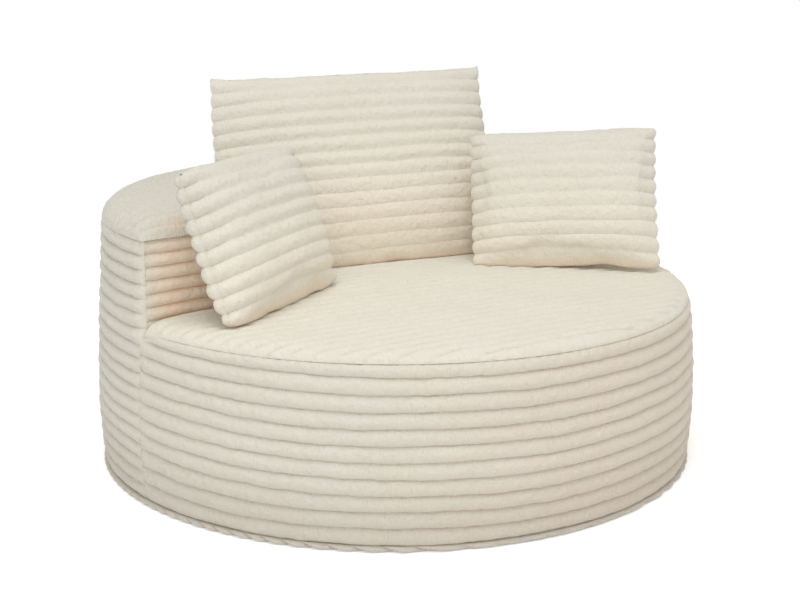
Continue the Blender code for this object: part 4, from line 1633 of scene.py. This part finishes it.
@dataclass
class Pillow:
    """One loose pillow: its plush panels, filling and zip chain.

    Its own frame has X along the width, Y to its rear and Z up its face, from its centre.
    """

    workshop: Workshop
    obstacles: Obstacles
    name: str
    ribs_count: int
    seed: float
    cell: float = 9 * MM
    cells_per_rib: int = 3
    column_step: float = 5 * MM
    rib_height: float = 7.5 * MM
    middle_rib: float = 4.0 * MM
    low_rib: float = 5.5 * MM
    wander: float = 1.6 * MM
    swell: float = 1.5 * MM
    tuft: float = 0.5 * MM
    left_swell: float = 0.0
    right_swell: float = 0.0
    top_swell: float = 0.0
    crown_side: float = 3.2
    crown_end: float = 2.6
    crown_power: float = 0.62
    corner_power: float = 9
    corner_round: float = 4 * MM
    case_slack: float = 1 * MM
    cloth_frames: int = 20
    cloth_cap: float = 12 * MM
    # Painted warm bounce light low down, beside a neighbour and at the hem; painted shade on top
    border_cap: float = 0.2
    warm_shade_share: float = 0.25
    side_warm_shade: float = 0.0
    hem_warm_shade: float = 0.6
    top_shade: float = 0.3
    hem_wave: float = 9 * MM
    top_wave: float = 2.4 * MM
    arch: float = 3 * MM
    side_knob: float = 0.0
    knob_width: float = 55 * MM
    right_droop: float = 0.0
    sag: float = 6 * MM
    panel_thickness: float = 5 * MM
    panel_taper: float = 25 * MM
    inland: float = 12 * MM
    seam_dip: float = 0.6 * MM
    seam_width: float = 6 * MM
    seam_shade: float = 6 * MM
    seam_lap: float = 0.3 * MM
    rest_gap: float = 0.4 * MM
    lining_gap: float = 1 * MM
    filling_gap: float = 6 * MM
    rest_reach: float = 30 * MM
    filling_skip: int = 5
    filling_inset: float = 9 * MM
    filling_lump: float = 1.5 * MM
    filling_over_zip: float = 3 * MM
    lining_over_zip: float = 1.2 * MM
    chain_seat: float = 0.4 * MM
    zip_across: tuple = (7 * MM, 15 * MM)
    zip_beyond: tuple = (17 * MM, 32 * MM)

    def __post_init__(self) -> None:
        """Read the pillow's frame and sizes off its CAD nodes."""
        self.frame = self.read_frame()
        inverse = self.frame.inverted()
        panels = np.concatenate([self.local_points(f"{self.name}_{side}_panel", inverse)
                                 for side in ("front", "rear")])
        self.width, self.thickness, self.height = panels.max(0) - panels.min(0)
        chain = self.local_points(f"{self.name}_zip_chain", inverse)
        self.chain_low, self.chain_high = chain.min(0), chain.max(0)
        self.chain_slope, self.chain_level = np.polyfit(chain[:, 0], chain[:, 2], 1)

    @staticmethod
    def local_points(node: str, inverse: Matrix) -> np.ndarray:
        """Return a CAD node's vertices, in the pillow's own frame."""
        turn = np.array(inverse)
        return node_points(node) @ turn[:3, :3].T + turn[:3, 3]

    def read_frame(self) -> Matrix:
        """Find the pillow's frame from its filling's principal axes.

        Returns:
            The frame, X along the pillow's width.
        """
        points = np.unique(node_points(self.name + "_filling").round(6), axis=0)
        axes = np.linalg.svd(points - points.mean(0), full_matrices=False)[2]
        x_axis = Vector(axes[0]) * (1 if axes[0][0] > 0 else -1)
        y_axis = Vector(axes[2]) * (1 if axes[2][1] > 0 else -1)
        turn = Matrix((x_axis, y_axis, x_axis.cross(y_axis))).transposed()
        local = points @ np.array(turn)
        centre = turn @ Vector((local.min(0) + local.max(0)) / 2)
        LOG.info("%s: centre %s", self.name, tuple(round(c, 4) for c in centre))
        return Matrix.Translation(centre) @ turn.to_4x4()

    def start_point(self, u: float, v: float, side: int) -> Vector:
        """Return a point of the pillow's crowned start shape.

        Args:
            u: Fabric share along the width, from -1 to 1.
            v: Fabric share up the face, from -1 to 1.
            side: -1 for the front, 1 for the rear.

        Returns:
            The point, in the pillow's frame.
        """
        half_width = self.width / 2 - self.rib_height * 0.4
        half_height = self.height / 2 - self.rib_height * 0.2
        half_thickness = self.thickness / 2 - self.rib_height - self.case_slack
        side_swell = self.left_swell if u < 0 else self.right_swell
        end_swell = 0.0 if v < 0 else self.top_swell
        x = u * (half_width + side_swell * (1 - v * v) * u * u)
        z = v * (half_height + end_swell * (1 - u ** 4) * v * v)
        crown = (1 - abs(u) ** self.crown_side) * (1 - abs(v) ** self.crown_end)
        corner = abs(u * v) ** self.corner_power
        x -= u * self.corner_round * corner
        z -= v * self.corner_round * corner
        return Vector((x, side * (half_thickness * crown ** self.crown_power), z))

    def cloth_sheets(self) -> list[np.ndarray]:
        """Inflate the sewn case.

        Returns:
            Its front and its rear, each as a grid of points.
        """
        columns = 2 * round(self.width / self.cell / 2)
        rows = self.ribs_count * self.cells_per_rib
        u_shares = [self.ease(2 * i / columns - 1) for i in range(columns + 1)]
        v_shares = [2 * j / rows - 1 for j in range(rows + 1)]
        bm = bmesh.new()
        place = bm.verts.layers.float_vector.new("cell")
        for side in (-1, 1):
            made = bmesh.ops.create_grid(bm, x_segments=columns, y_segments=rows, size=1)["verts"]
            for vert in made:
                i = round((vert.co.x + 1) / 2 * columns)
                j = round((vert.co.y + 1) / 2 * rows)
                vert.co = self.start_point(u_shares[i], v_shares[j], side)
                vert[place] = Vector((i, j, side))
        bmesh.ops.remove_doubles(bm, verts=bm.verts, dist=MERGE)
        bmesh.ops.recalc_face_normals(bm, faces=bm.faces)
        cells = [tuple(round(c) for c in vert[place]) for vert in bm.verts]
        start = np.array([vert.co[:] for vert in bm.verts])
        mesh = bpy.data.meshes.new(self.name + "_case")
        bm.to_mesh(mesh)
        bm.free()
        settled = self.inflate(mesh, start)
        bpy.data.meshes.remove(mesh)
        sheets = [np.zeros((columns + 1, rows + 1, 3)) for _ in range(2)]
        for (i, j, side), point in zip(cells, settled):
            is_border = i in (0, columns) or j in (0, rows)
            for index, own_side in enumerate((-1, 1)):
                if is_border or side == own_side:
                    sheets[index][i, j] = point
        return sheets

    @staticmethod
    def ease(share: float) -> float:
        """Crowd the columns towards the sides, where the cover curves most."""
        return 0.55 * share + 0.45 * math.sin(share * math.pi / 2)

    def inflate(self, mesh: bpy.types.Mesh, start: np.ndarray) -> np.ndarray:
        """Let the cloth swell under its filling.

        Args:
            mesh: The sewn case.
            start: Its vertices before.

        Returns:
            Its vertices after, each moved no further than the cap.
        """
        case = add_object(self.name + "_case", mesh)
        cloth = case.modifiers.new("cloth", "CLOTH")
        settings = cloth.settings
        settings.quality = 6
        settings.mass = 0.4
        settings.tension_stiffness = 22
        settings.compression_stiffness = 12
        settings.shear_stiffness = 6
        settings.bending_stiffness = 0.6
        settings.use_pressure = True
        settings.uniform_pressure_force = 4
        settings.effector_weights.gravity = 0
        cloth.collision_settings.use_collision = False
        scene = bpy.context.scene
        for frame_number in range(1, self.cloth_frames + 1):
            scene.frame_set(frame_number)
        graph = bpy.context.evaluated_depsgraph_get()
        shown = case.evaluated_get(graph).to_mesh()
        settled = np.array([vert.co[:] for vert in shown.vertices])
        case.evaluated_get(graph).to_mesh_clear()
        scene.frame_set(1)
        bpy.data.objects.remove(case)
        move = settled - start
        length = np.linalg.norm(move, axis=1)[:, None]
        LOG.info("%s: cloth moved %.1f mm at most", self.name, length.max() / MM)
        crown = np.abs(start[:, 1:2]) / np.abs(start[:, 1]).max()
        cap = self.cloth_cap * (self.border_cap + (1 - self.border_cap) * crown)
        return start + move * np.minimum(1, cap / np.maximum(length, LEAST_LENGTH))

    @staticmethod
    def weights(count: int, positions: list[float]) -> np.ndarray:
        """Return the matrix that reads a smooth curve through evenly numbered points.

        Args:
            count: How many points there are.
            positions: Where to read, in point numbers.

        Returns:
            One row of Catmull-Rom weights for each position.
        """
        table = np.zeros((len(positions), count))
        for row, position in enumerate(positions):
            base = min(count - 2, max(0, int(position)))
            t = position - base
            shares = (-t + 2 * t ** 2 - t ** 3, 2 - 5 * t ** 2 + 3 * t ** 3,
                      t + 4 * t ** 2 - 3 * t ** 3, t ** 3 - t ** 2)
            for offset, share in enumerate(shares, -1):
                index = min(count - 1, max(0, base + offset))
                table[row, index] += share / 2
        return table

    def resample(self, sheet: np.ndarray, columns: int, stations: list[float]) -> np.ndarray:
        """Read a sheet at finer columns and at the ribs' stations.

        Args:
            sheet: The case's points.
            columns: How many columns to read.
            stations: The rows' places across the ribs, in pitches.

        Returns:
            The finer sheet.
        """
        last = sheet.shape[0] - 1
        across = self.weights(last + 1, [i * last / columns for i in range(columns + 1)])
        up = self.weights(sheet.shape[1], [s * self.cells_per_rib for s in stations])
        return np.einsum("ai,bj,ijk->abk", across, up, sheet)

    @staticmethod
    def normals(sheet: np.ndarray, side: int) -> np.ndarray:
        """Find a sheet's outward directions.

        Args:
            sheet: Its points.
            side: -1 for the front, 1 for the rear.

        Returns:
            One unit direction for each point.
        """
        direction = np.cross(np.gradient(sheet, axis=1), np.gradient(sheet, axis=0)) * side
        length = np.linalg.norm(direction, axis=2)[:, :, None]
        return direction / np.maximum(length, LEAST_LENGTH)

    def edge_shift(self, along: float, across: float, share: float) -> float:
        """Return how far the lower and upper edges run off their straight lines.

        Args:
            along: Distance along the edge, in metres.
            across: Distance from the lower edge, in ribs.
            share: Place along the edge, from -1 to 1.

        Returns:
            The upward shift, in metres.
        """
        low_side = 1 - smoothstep(0.0, 0.35, across / self.ribs_count)
        hem = max(0.0, noise.noise(Vector((along * 13, 4, self.seed))))
        hem *= 1 - smoothstep(0.0, 0.9, across)
        ruffle = 1 - smoothstep(0.0, 1.0, self.ribs_count - across)
        frill = noise.noise(Vector((along * 15, 7, self.seed)))
        frill += 0.5 * noise.noise(Vector((along * 70, 8, self.seed)))
        droop = self.right_droop * smoothstep(0.35, 1.0, share) * low_side
        return self.hem_wave * hem + self.top_wave * ruffle * frill - droop

    def sagged(self, point: Vector) -> Vector:
        """Let the filling sink towards the pillow's lower edge.

        Args:
            point: A point in the pillow's frame.

        Returns:
            The point, bellied out and lowered.
        """
        share = min(1.0, max(0.0, 0.5 - point.z / self.height))
        belly = math.sin(math.pi * min(1.0, share * 1.15)) * share
        side = max(0.0, 1 - (2 * point.x / self.width) ** 2)
        front = 1 if point.y < 0 else 0.4
        out = math.copysign(self.sag * belly * side * front, point.y)
        return point + Vector((0, out, -self.sag * 0.6 * share ** 2))

    def build(self) -> None:
        """Build the pillow's pieces."""
        ribs = Ribs(self.height / self.ribs_count, self.rib_height, self.seed,
                    wander=self.wander, swell=self.swell, tuft=self.tuft)
        rows = self.ribs_count * ribs.samples
        columns = 2 * round(self.width / self.column_step / 2)
        stations = [ribs.station(row) for row in range(rows + 1)]
        places = [across for across, _ in stations]
        sheets = [self.resample(sheet, columns, places) for sheet in self.cloth_sheets()]
        directions = [self.normals(sheet, side) for sheet, side in zip(sheets, (-1, 1))]
        border = directions[0] + directions[1]
        every = slice(None)
        for direction in directions:
            for edge in ((0, every), (-1, every), (every, 0), (every, -1)):
                direction[edge] = border[edge]
            length = np.linalg.norm(direction, axis=2)[:, :, None]
            direction /= np.maximum(length, LEAST_LENGTH)
        for sheet, direction, side, label in zip(sheets, directions, (-1, 1), ("front", "rear")):
            self.build_panel(label, side, sheet, direction, ribs, stations)
        self.build_filling(sheets, directions)
        self.build_chain()

    def build_chain(self) -> None:
        """Build the zip's teeth along the rear panel."""
        middle = (self.chain_low + self.chain_high) / 2

        def frame_at(along: float) -> Matrix:
            """Return the chain's frame.

            Args:
                along: Distance along it.

            Returns:
                The frame there.
            """
            x = self.chain_low[0] + along
            place = Matrix.Translation((x, middle[1], self.chain_slope * x + self.chain_level))
            return self.frame @ place @ Matrix.Rotation(-math.atan(self.chain_slope), 4, "Y")

        length = self.chain_high[0] - self.chain_low[0]
        ZipChain(self.workshop).build(self.name + "_zip_chain", self.name, length, frame_at)

    def build_panel(self, label: str, side: int, sheet: np.ndarray, direction: np.ndarray,
                    ribs: Ribs, stations: list[tuple[float, float]]) -> None:
        """Build one plush panel as a closed shell.

        Args:
            label: Which panel it is, as in its node's name.
            side: -1 for the front, 1 for the rear.
            sheet: The case's points at every column and station.
            direction: Their outward directions.
            ribs: The plush's ribs.
            stations: Each row's place across the ribs and share of a rib's height.
        """
        columns, rows = sheet.shape[0] - 1, sheet.shape[1] - 1
        lengths = np.linalg.norm(np.diff(sheet, axis=0), axis=2)
        arcs = np.concatenate((np.zeros((1, rows + 1)), np.cumsum(lengths, axis=0)))

        def outer(column: int, row: int) -> Spot:
            """Return the panel's outer spot.

            Args:
                column: The grid's column.
                row: The grid's row.

            Returns:
                The spot there.
            """
            across, rise = stations[row]
            height_share = across / self.ribs_count
            along = arcs[column, row]
            from_side = min(along, arcs[-1, row] - along)
            from_top = min(across, self.ribs_count - across) * ribs.pitch
            seam = math.exp(-(from_side / self.seam_width) ** 2)
            share = 2 * along / arcs[-1, row] - 1
            growth = self.middle_rib - self.low_rib
            face = self.low_rib + growth * smoothstep(0.15, 0.6, height_share)
            height = face + (self.rib_height - face) * smoothstep(0.62, 1.0, abs(share))
            tone = 1 - rise
            broad = 1 - smoothstep(0.6, 0.97, abs(share))
            rise += (rise * rise - rise) * (broad * smoothstep(0.3, 0.55, height_share))
            out = self.rib_height - height * (1 - rise) - self.rib_height * 0.12 * seam
            out *= smoothstep(0, 0.45 * ribs.pitch, from_top) if row in (0, rows) else 1
            out -= self.seam_dip * seam * (0.5 + 0.5 * rise)
            fade = smoothstep(0, 0.5 * ribs.pitch, from_top)
            inland = smoothstep(0, self.inland, min(from_side, from_top))
            out += ribs.relief(along, across + 40 * side) * (0.4 + 0.6 * rise) * inland
            out += ribs.relief(along, across) * (1 - inland)
            slide = (ribs.drift(along, across) + self.arch * (1 - share * share)) * fade
            point = Vector(sheet[column, row]) + Vector(direction[column, row]) * out
            point += Vector((0, 0, slide))
            if side > 0 and (column in (0, columns) or row in (0, rows)):
                point.y -= self.seam_lap
            if side > 0 and point.x < 0:
                knob = math.sin(math.pi * min(1.0, from_side / self.knob_width)) * fade
                point.x -= self.side_knob * knob
            point.z += self.edge_shift(along, across, share)
            point = self.sagged(point)
            if side > 0:
                point.y = self.zip_seat(point, point.y)
            placed = self.obstacles.clear(self.frame @ point, self.rest_gap, self.rest_reach)
            # Painted shade in the grooves and in the side seam's crease
            crest = 1 - tone * (0.3 + 0.4 * height / self.rib_height) * (1 - 0.6 * seam)
            crest -= self.seam_dip / self.seam_shade * seam
            # Painted warm bounce light low down, in the sheltered side and at the hem
            warm_shade = self.warm_shade_share * (1 - smoothstep(0.0, 0.75, height_share))
            sheltered = smoothstep(0.8, 1.0, abs(share)) * (1 - smoothstep(0.4, 0.62, height_share))
            warm_shade += (self.side_warm_shade - warm_shade) * sheltered if self.side_warm_shade else 0
            warm_shade += self.hem_warm_shade * (1 - smoothstep(0.0, 0.5, across))
            # Painted shade over the upper part, where less light falls
            painted_shade = self.top_shade * smoothstep(0.15, 0.95, height_share)
            return Spot(placed, Vector((along, across * ribs.pitch, self.seed)), crest, warm_shade, painted_shade)

        def inner(column: int, row: int) -> Spot:
            """Return the panel's inner spot, sewn to the outer one along its border.

            Args:
                column: The grid's column.
                row: The grid's row.

            Returns:
                The spot there.
            """
            if column in (0, columns) or row in (0, rows):
                return outer(column, row)
            across = stations[row][0]
            along = arcs[column, row]
            from_side = min(along, arcs[-1, row] - along)
            border = min(from_side, across * ribs.pitch, (self.ribs_count - across) * ribs.pitch)
            taper = smoothstep(0, self.panel_taper, border)
            inset = self.panel_thickness * taper
            inset += self.seam_dip * math.exp(-(from_side / self.seam_width) ** 2)
            point = Vector(sheet[column, row]) - Vector(direction[column, row]) * inset
            point.z += self.edge_shift(along, across, 2 * along / arcs[-1, row] - 1)
            point = self.sagged(point)
            if side > 0:
                seat = self.zip_seat(point, point.y) - self.lining_over_zip * taper
                point.y = min(point.y, seat)
            gap = self.rest_gap + self.lining_gap
            placed = self.obstacles.clear(self.frame @ point, gap, self.rest_reach)
            return Spot(placed, Vector((along, 0, 0)), 0)

        bm = self.workshop.grid(columns, rows, outer)
        self.workshop.join(bm, self.workshop.grid(columns, rows, inner))
        self.workshop.close(bm)
        node = f"{self.name}_{label}_panel"
        made = self.workshop.piece(node + "_plush", bm, Slot.PILLOW_PLUSH, self.name, (node,))

    def zip_seat(self, point: Vector, depth: float) -> float:
        """Flatten the rear cover under the zip's chain.

        Args:
            point: A point of the cover, in the pillow's frame.
            depth: Its depth before.

        Returns:
            Its depth after.
        """
        floor = self.chain_low[1] - self.chain_seat
        middle = self.chain_slope * point.x + self.chain_level
        beyond = max(0.0, abs(point.x) - self.chain_high[0])
        near = 1 - smoothstep(*self.zip_across, abs(point.z - middle))
        near *= 1 - smoothstep(*self.zip_beyond, beyond)
        return depth * (1 - near) + floor * near

    def build_filling(self, sheets: list[np.ndarray], directions: list[np.ndarray]) -> None:
        """Build the fibre filling as one closed lens inside the panels.

        Args:
            sheets: The case's front and rear points.
            directions: Their outward directions.
        """
        last_column, last_row = sheets[0].shape[0] - 1, sheets[0].shape[1] - 1
        columns, rows = last_column // self.filling_skip, last_row // self.filling_skip

        def place(column: int, row: int, side: int) -> Spot:
            """Return the filling's spot.

            Args:
                column: The grid's column.
                row: The grid's row.
                side: 0 for the front half, 1 for the rear one.

            Returns:
                The spot there.
            """
            i = round(column * last_column / columns)
            j = round(row * last_row / rows)
            is_border = column in (0, columns) or row in (0, rows)
            inset = 0 if is_border else self.filling_inset
            point = Vector(sheets[side][i, j]) - Vector(directions[side][i, j]) * inset
            point = Vector((point.x * 0.93, 0 if is_border else point.y, point.z * 0.9))
            point = self.sagged(point)
            if side:
                over = 0 if is_border else self.filling_over_zip
                point.y = min(point.y, self.zip_seat(point, point.y) - over)
            lump = 0 if is_border else self.filling_lump * noise.noise(point * 30)
            placed = self.frame @ (point + Vector((0, lump, 0)))
            return Spot(self.obstacles.clear(placed, self.filling_gap, self.rest_reach), point)

        bm, rear = (self.workshop.grid(columns, rows, partial(place, side=side)) for side in (0, 1))
        self.workshop.join(bm, rear)
        self.workshop.close(bm)
        node = self.name + "_filling"
        made = self.workshop.piece(node + "_fibre", bm, Slot.FIBRE, self.name, (node,))


@dataclass(frozen=True)
class Lamp:
    """A soft square light that faces the chair."""

    name: str
    place: tuple
    size: float
    power: float
    colour: tuple


@dataclass
class Stage:
    """World, floor, lights and camera."""

    azimuth: float = math.radians(-31)
    elevation: float = math.radians(13.3)
    distance: float = 2.89
    target: Vector = field(default_factory=lambda: Vector((0, 0, 0.3)))
    lens: float = 63.0
    sensor_width: float = 36
    shift_x: float = 0.005
    white: tuple = (1, 1, 1, 1)
    world_colour: tuple = (1, 0.99, 0.97, 1)
    world_strength: float = 0.58
    floor_colour: tuple = (0.92, 0.92, 0.92, 1)
    floor_roughness: float = 0.9
    floor_glow: float = 0.38
    floor_radius: float = 2.6
    floor_segments: int = 128
    lamps: tuple = (
        Lamp("key", (-0.85, -1.15, 3.6), 2.0, 50.0, (1, 0.995, 0.98)),
        Lamp("front", (-2.2, -3.0, 1.1), 2.4, 18.0, (0.99, 1, 1)),
        Lamp("fill", (2.8, -1.4, 1.2), 2.0, 5.0, (1, 0.88, 0.72)),
        Lamp("rear", (0.8, 3.4, 0.9), 2.6, 24.0, (1, 0.995, 0.98)),
    )

    def build_floor(self) -> None:
        """Add the pale floor, white to the camera but for the object's shadow."""
        bm = bmesh.new()
        bmesh.ops.create_circle(bm, cap_ends=True, segments=self.floor_segments,
                                radius=self.floor_radius)
        mesh = bpy.data.meshes.new("floor")
        bm.to_mesh(mesh)
        bm.free()
        floor = add_object("floor", mesh)
        shader = Shader("pale_floor")
        grain = shader.grain(shader.place(), 3, 2)
        shader.finish({"Base Color": self.floor_colour,
                       "Roughness": self.floor_roughness + grain * 0.05,
                       "Specular IOR Level": 0.0})
        inputs = {"Color": self.white, "Strength": self.floor_glow}
        glow = shader.node("ShaderNodeEmission", {}, inputs)
        inputs = {0: shader.surface.outputs[0], 1: glow.outputs[0]}
        both = shader.node("ShaderNodeAddShader", {}, inputs)
        shader.output("Material Output", shader.direct_rays(), shader.surface, both)
        mesh.materials.append(shader.material)

    def build_world(self) -> None:
        """Light softly from all round, with white behind the object."""
        world = bpy.data.worlds.new("studio")
        bpy.context.scene.world = world
        tree = Tree(world)
        soft = tree.tree.nodes["Background"]
        tree.feed(soft.inputs["Color"], self.world_colour)
        tree.feed(soft.inputs["Strength"], self.world_strength)
        white = tree.node("ShaderNodeBackground", {}, {"Color": self.white})
        tree.output("World Output", tree.direct_rays(), soft, white)

    def build_light(self, lamp: Lamp) -> None:
        """Add a light.

        Args:
            lamp: Its name, place, size, power and colour.
        """
        data = bpy.data.lights.new(lamp.name, "AREA")
        data.shape = "SQUARE"
        data.size = lamp.size
        data.energy = lamp.power
        data.color = lamp.colour
        light = add_object(lamp.name, data)
        light.location = lamp.place
        light.rotation_mode = "QUATERNION"
        towards = self.target - Vector(lamp.place)
        light.rotation_quaternion = towards.to_track_quat("-Z", "Y")

    def build_camera(self) -> None:
        """Add the camera at the photograph's angle."""
        data = bpy.data.cameras.new("camera")
        data.lens = self.lens
        data.sensor_width = self.sensor_width
        data.shift_x = self.shift_x
        camera = add_object("camera", data)
        back = Vector((math.sin(self.azimuth) * math.cos(self.elevation),
                       -math.cos(self.azimuth) * math.cos(self.elevation),
                       math.sin(self.elevation)))
        camera.location = self.target + back * self.distance
        camera.rotation_mode = "QUATERNION"
        camera.rotation_quaternion = (-back).to_track_quat("-Z", "Y")
        bpy.context.scene.camera = camera

    def build(self) -> None:
        """Set the stage."""
        bpy.context.scene.view_settings.view_transform = "Standard"
        self.build_world()
        self.build_floor()
        for lamp in self.lamps:
            self.build_light(lamp)
        self.build_camera()


def main() -> None:
    """Build the chair's looks in order."""
    logging.basicConfig(level=logging.INFO, format="%(name)s: %(message)s")
    for old in list(bpy.data.objects):
        bpy.data.objects.remove(old, do_unlink=True)
    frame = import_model()
    Stage().build()
    palette = Palette()
    palette.dress_frame(frame)
    workshop = Workshop(palette)
    drum = Drum(workshop)
    seat = drum.build()
    back = Back(workshop, drum)
    inner = back.build_inner()
    top = back.build_top()
    obstacles = Obstacles([seat, inner, top])
    pillows = (
        Pillow(workshop, obstacles, "big_pillow", 14, 101.0, rib_height=4.4 * MM,
               middle_rib=4.8 * MM, low_rib=2.6 * MM, corner_round=-4 * MM, left_swell=22 * MM,
               right_swell=-9 * MM, top_swell=1 * MM, warm_shade_share=0.3, top_shade=0.7,
               side_warm_shade=0.85),
        Pillow(workshop, obstacles, "left_pillow", 10, 131.0, rib_height=8.5 * MM,
               middle_rib=4.2 * MM, low_rib=4.0 * MM, arch=8 * MM, sag=3 * MM,
               side_knob=16 * MM, seam_dip=4.6 * MM, seam_width=4.5 * MM, warm_shade_share=0.1,
               top_shade=0.75),
        Pillow(workshop, obstacles, "right_pillow", 10, 161.0, rib_height=6 * MM,
               middle_rib=2.6 * MM, low_rib=3.4 * MM, top_swell=-5 * MM, right_swell=-7 * MM,
               right_droop=12 * MM, warm_shade_share=0.1, top_shade=0.7),
    )
    for pillow in pillows:
        pillow.build()
    CoverZip(workshop).build()


if __name__ == "__main__":
    main()
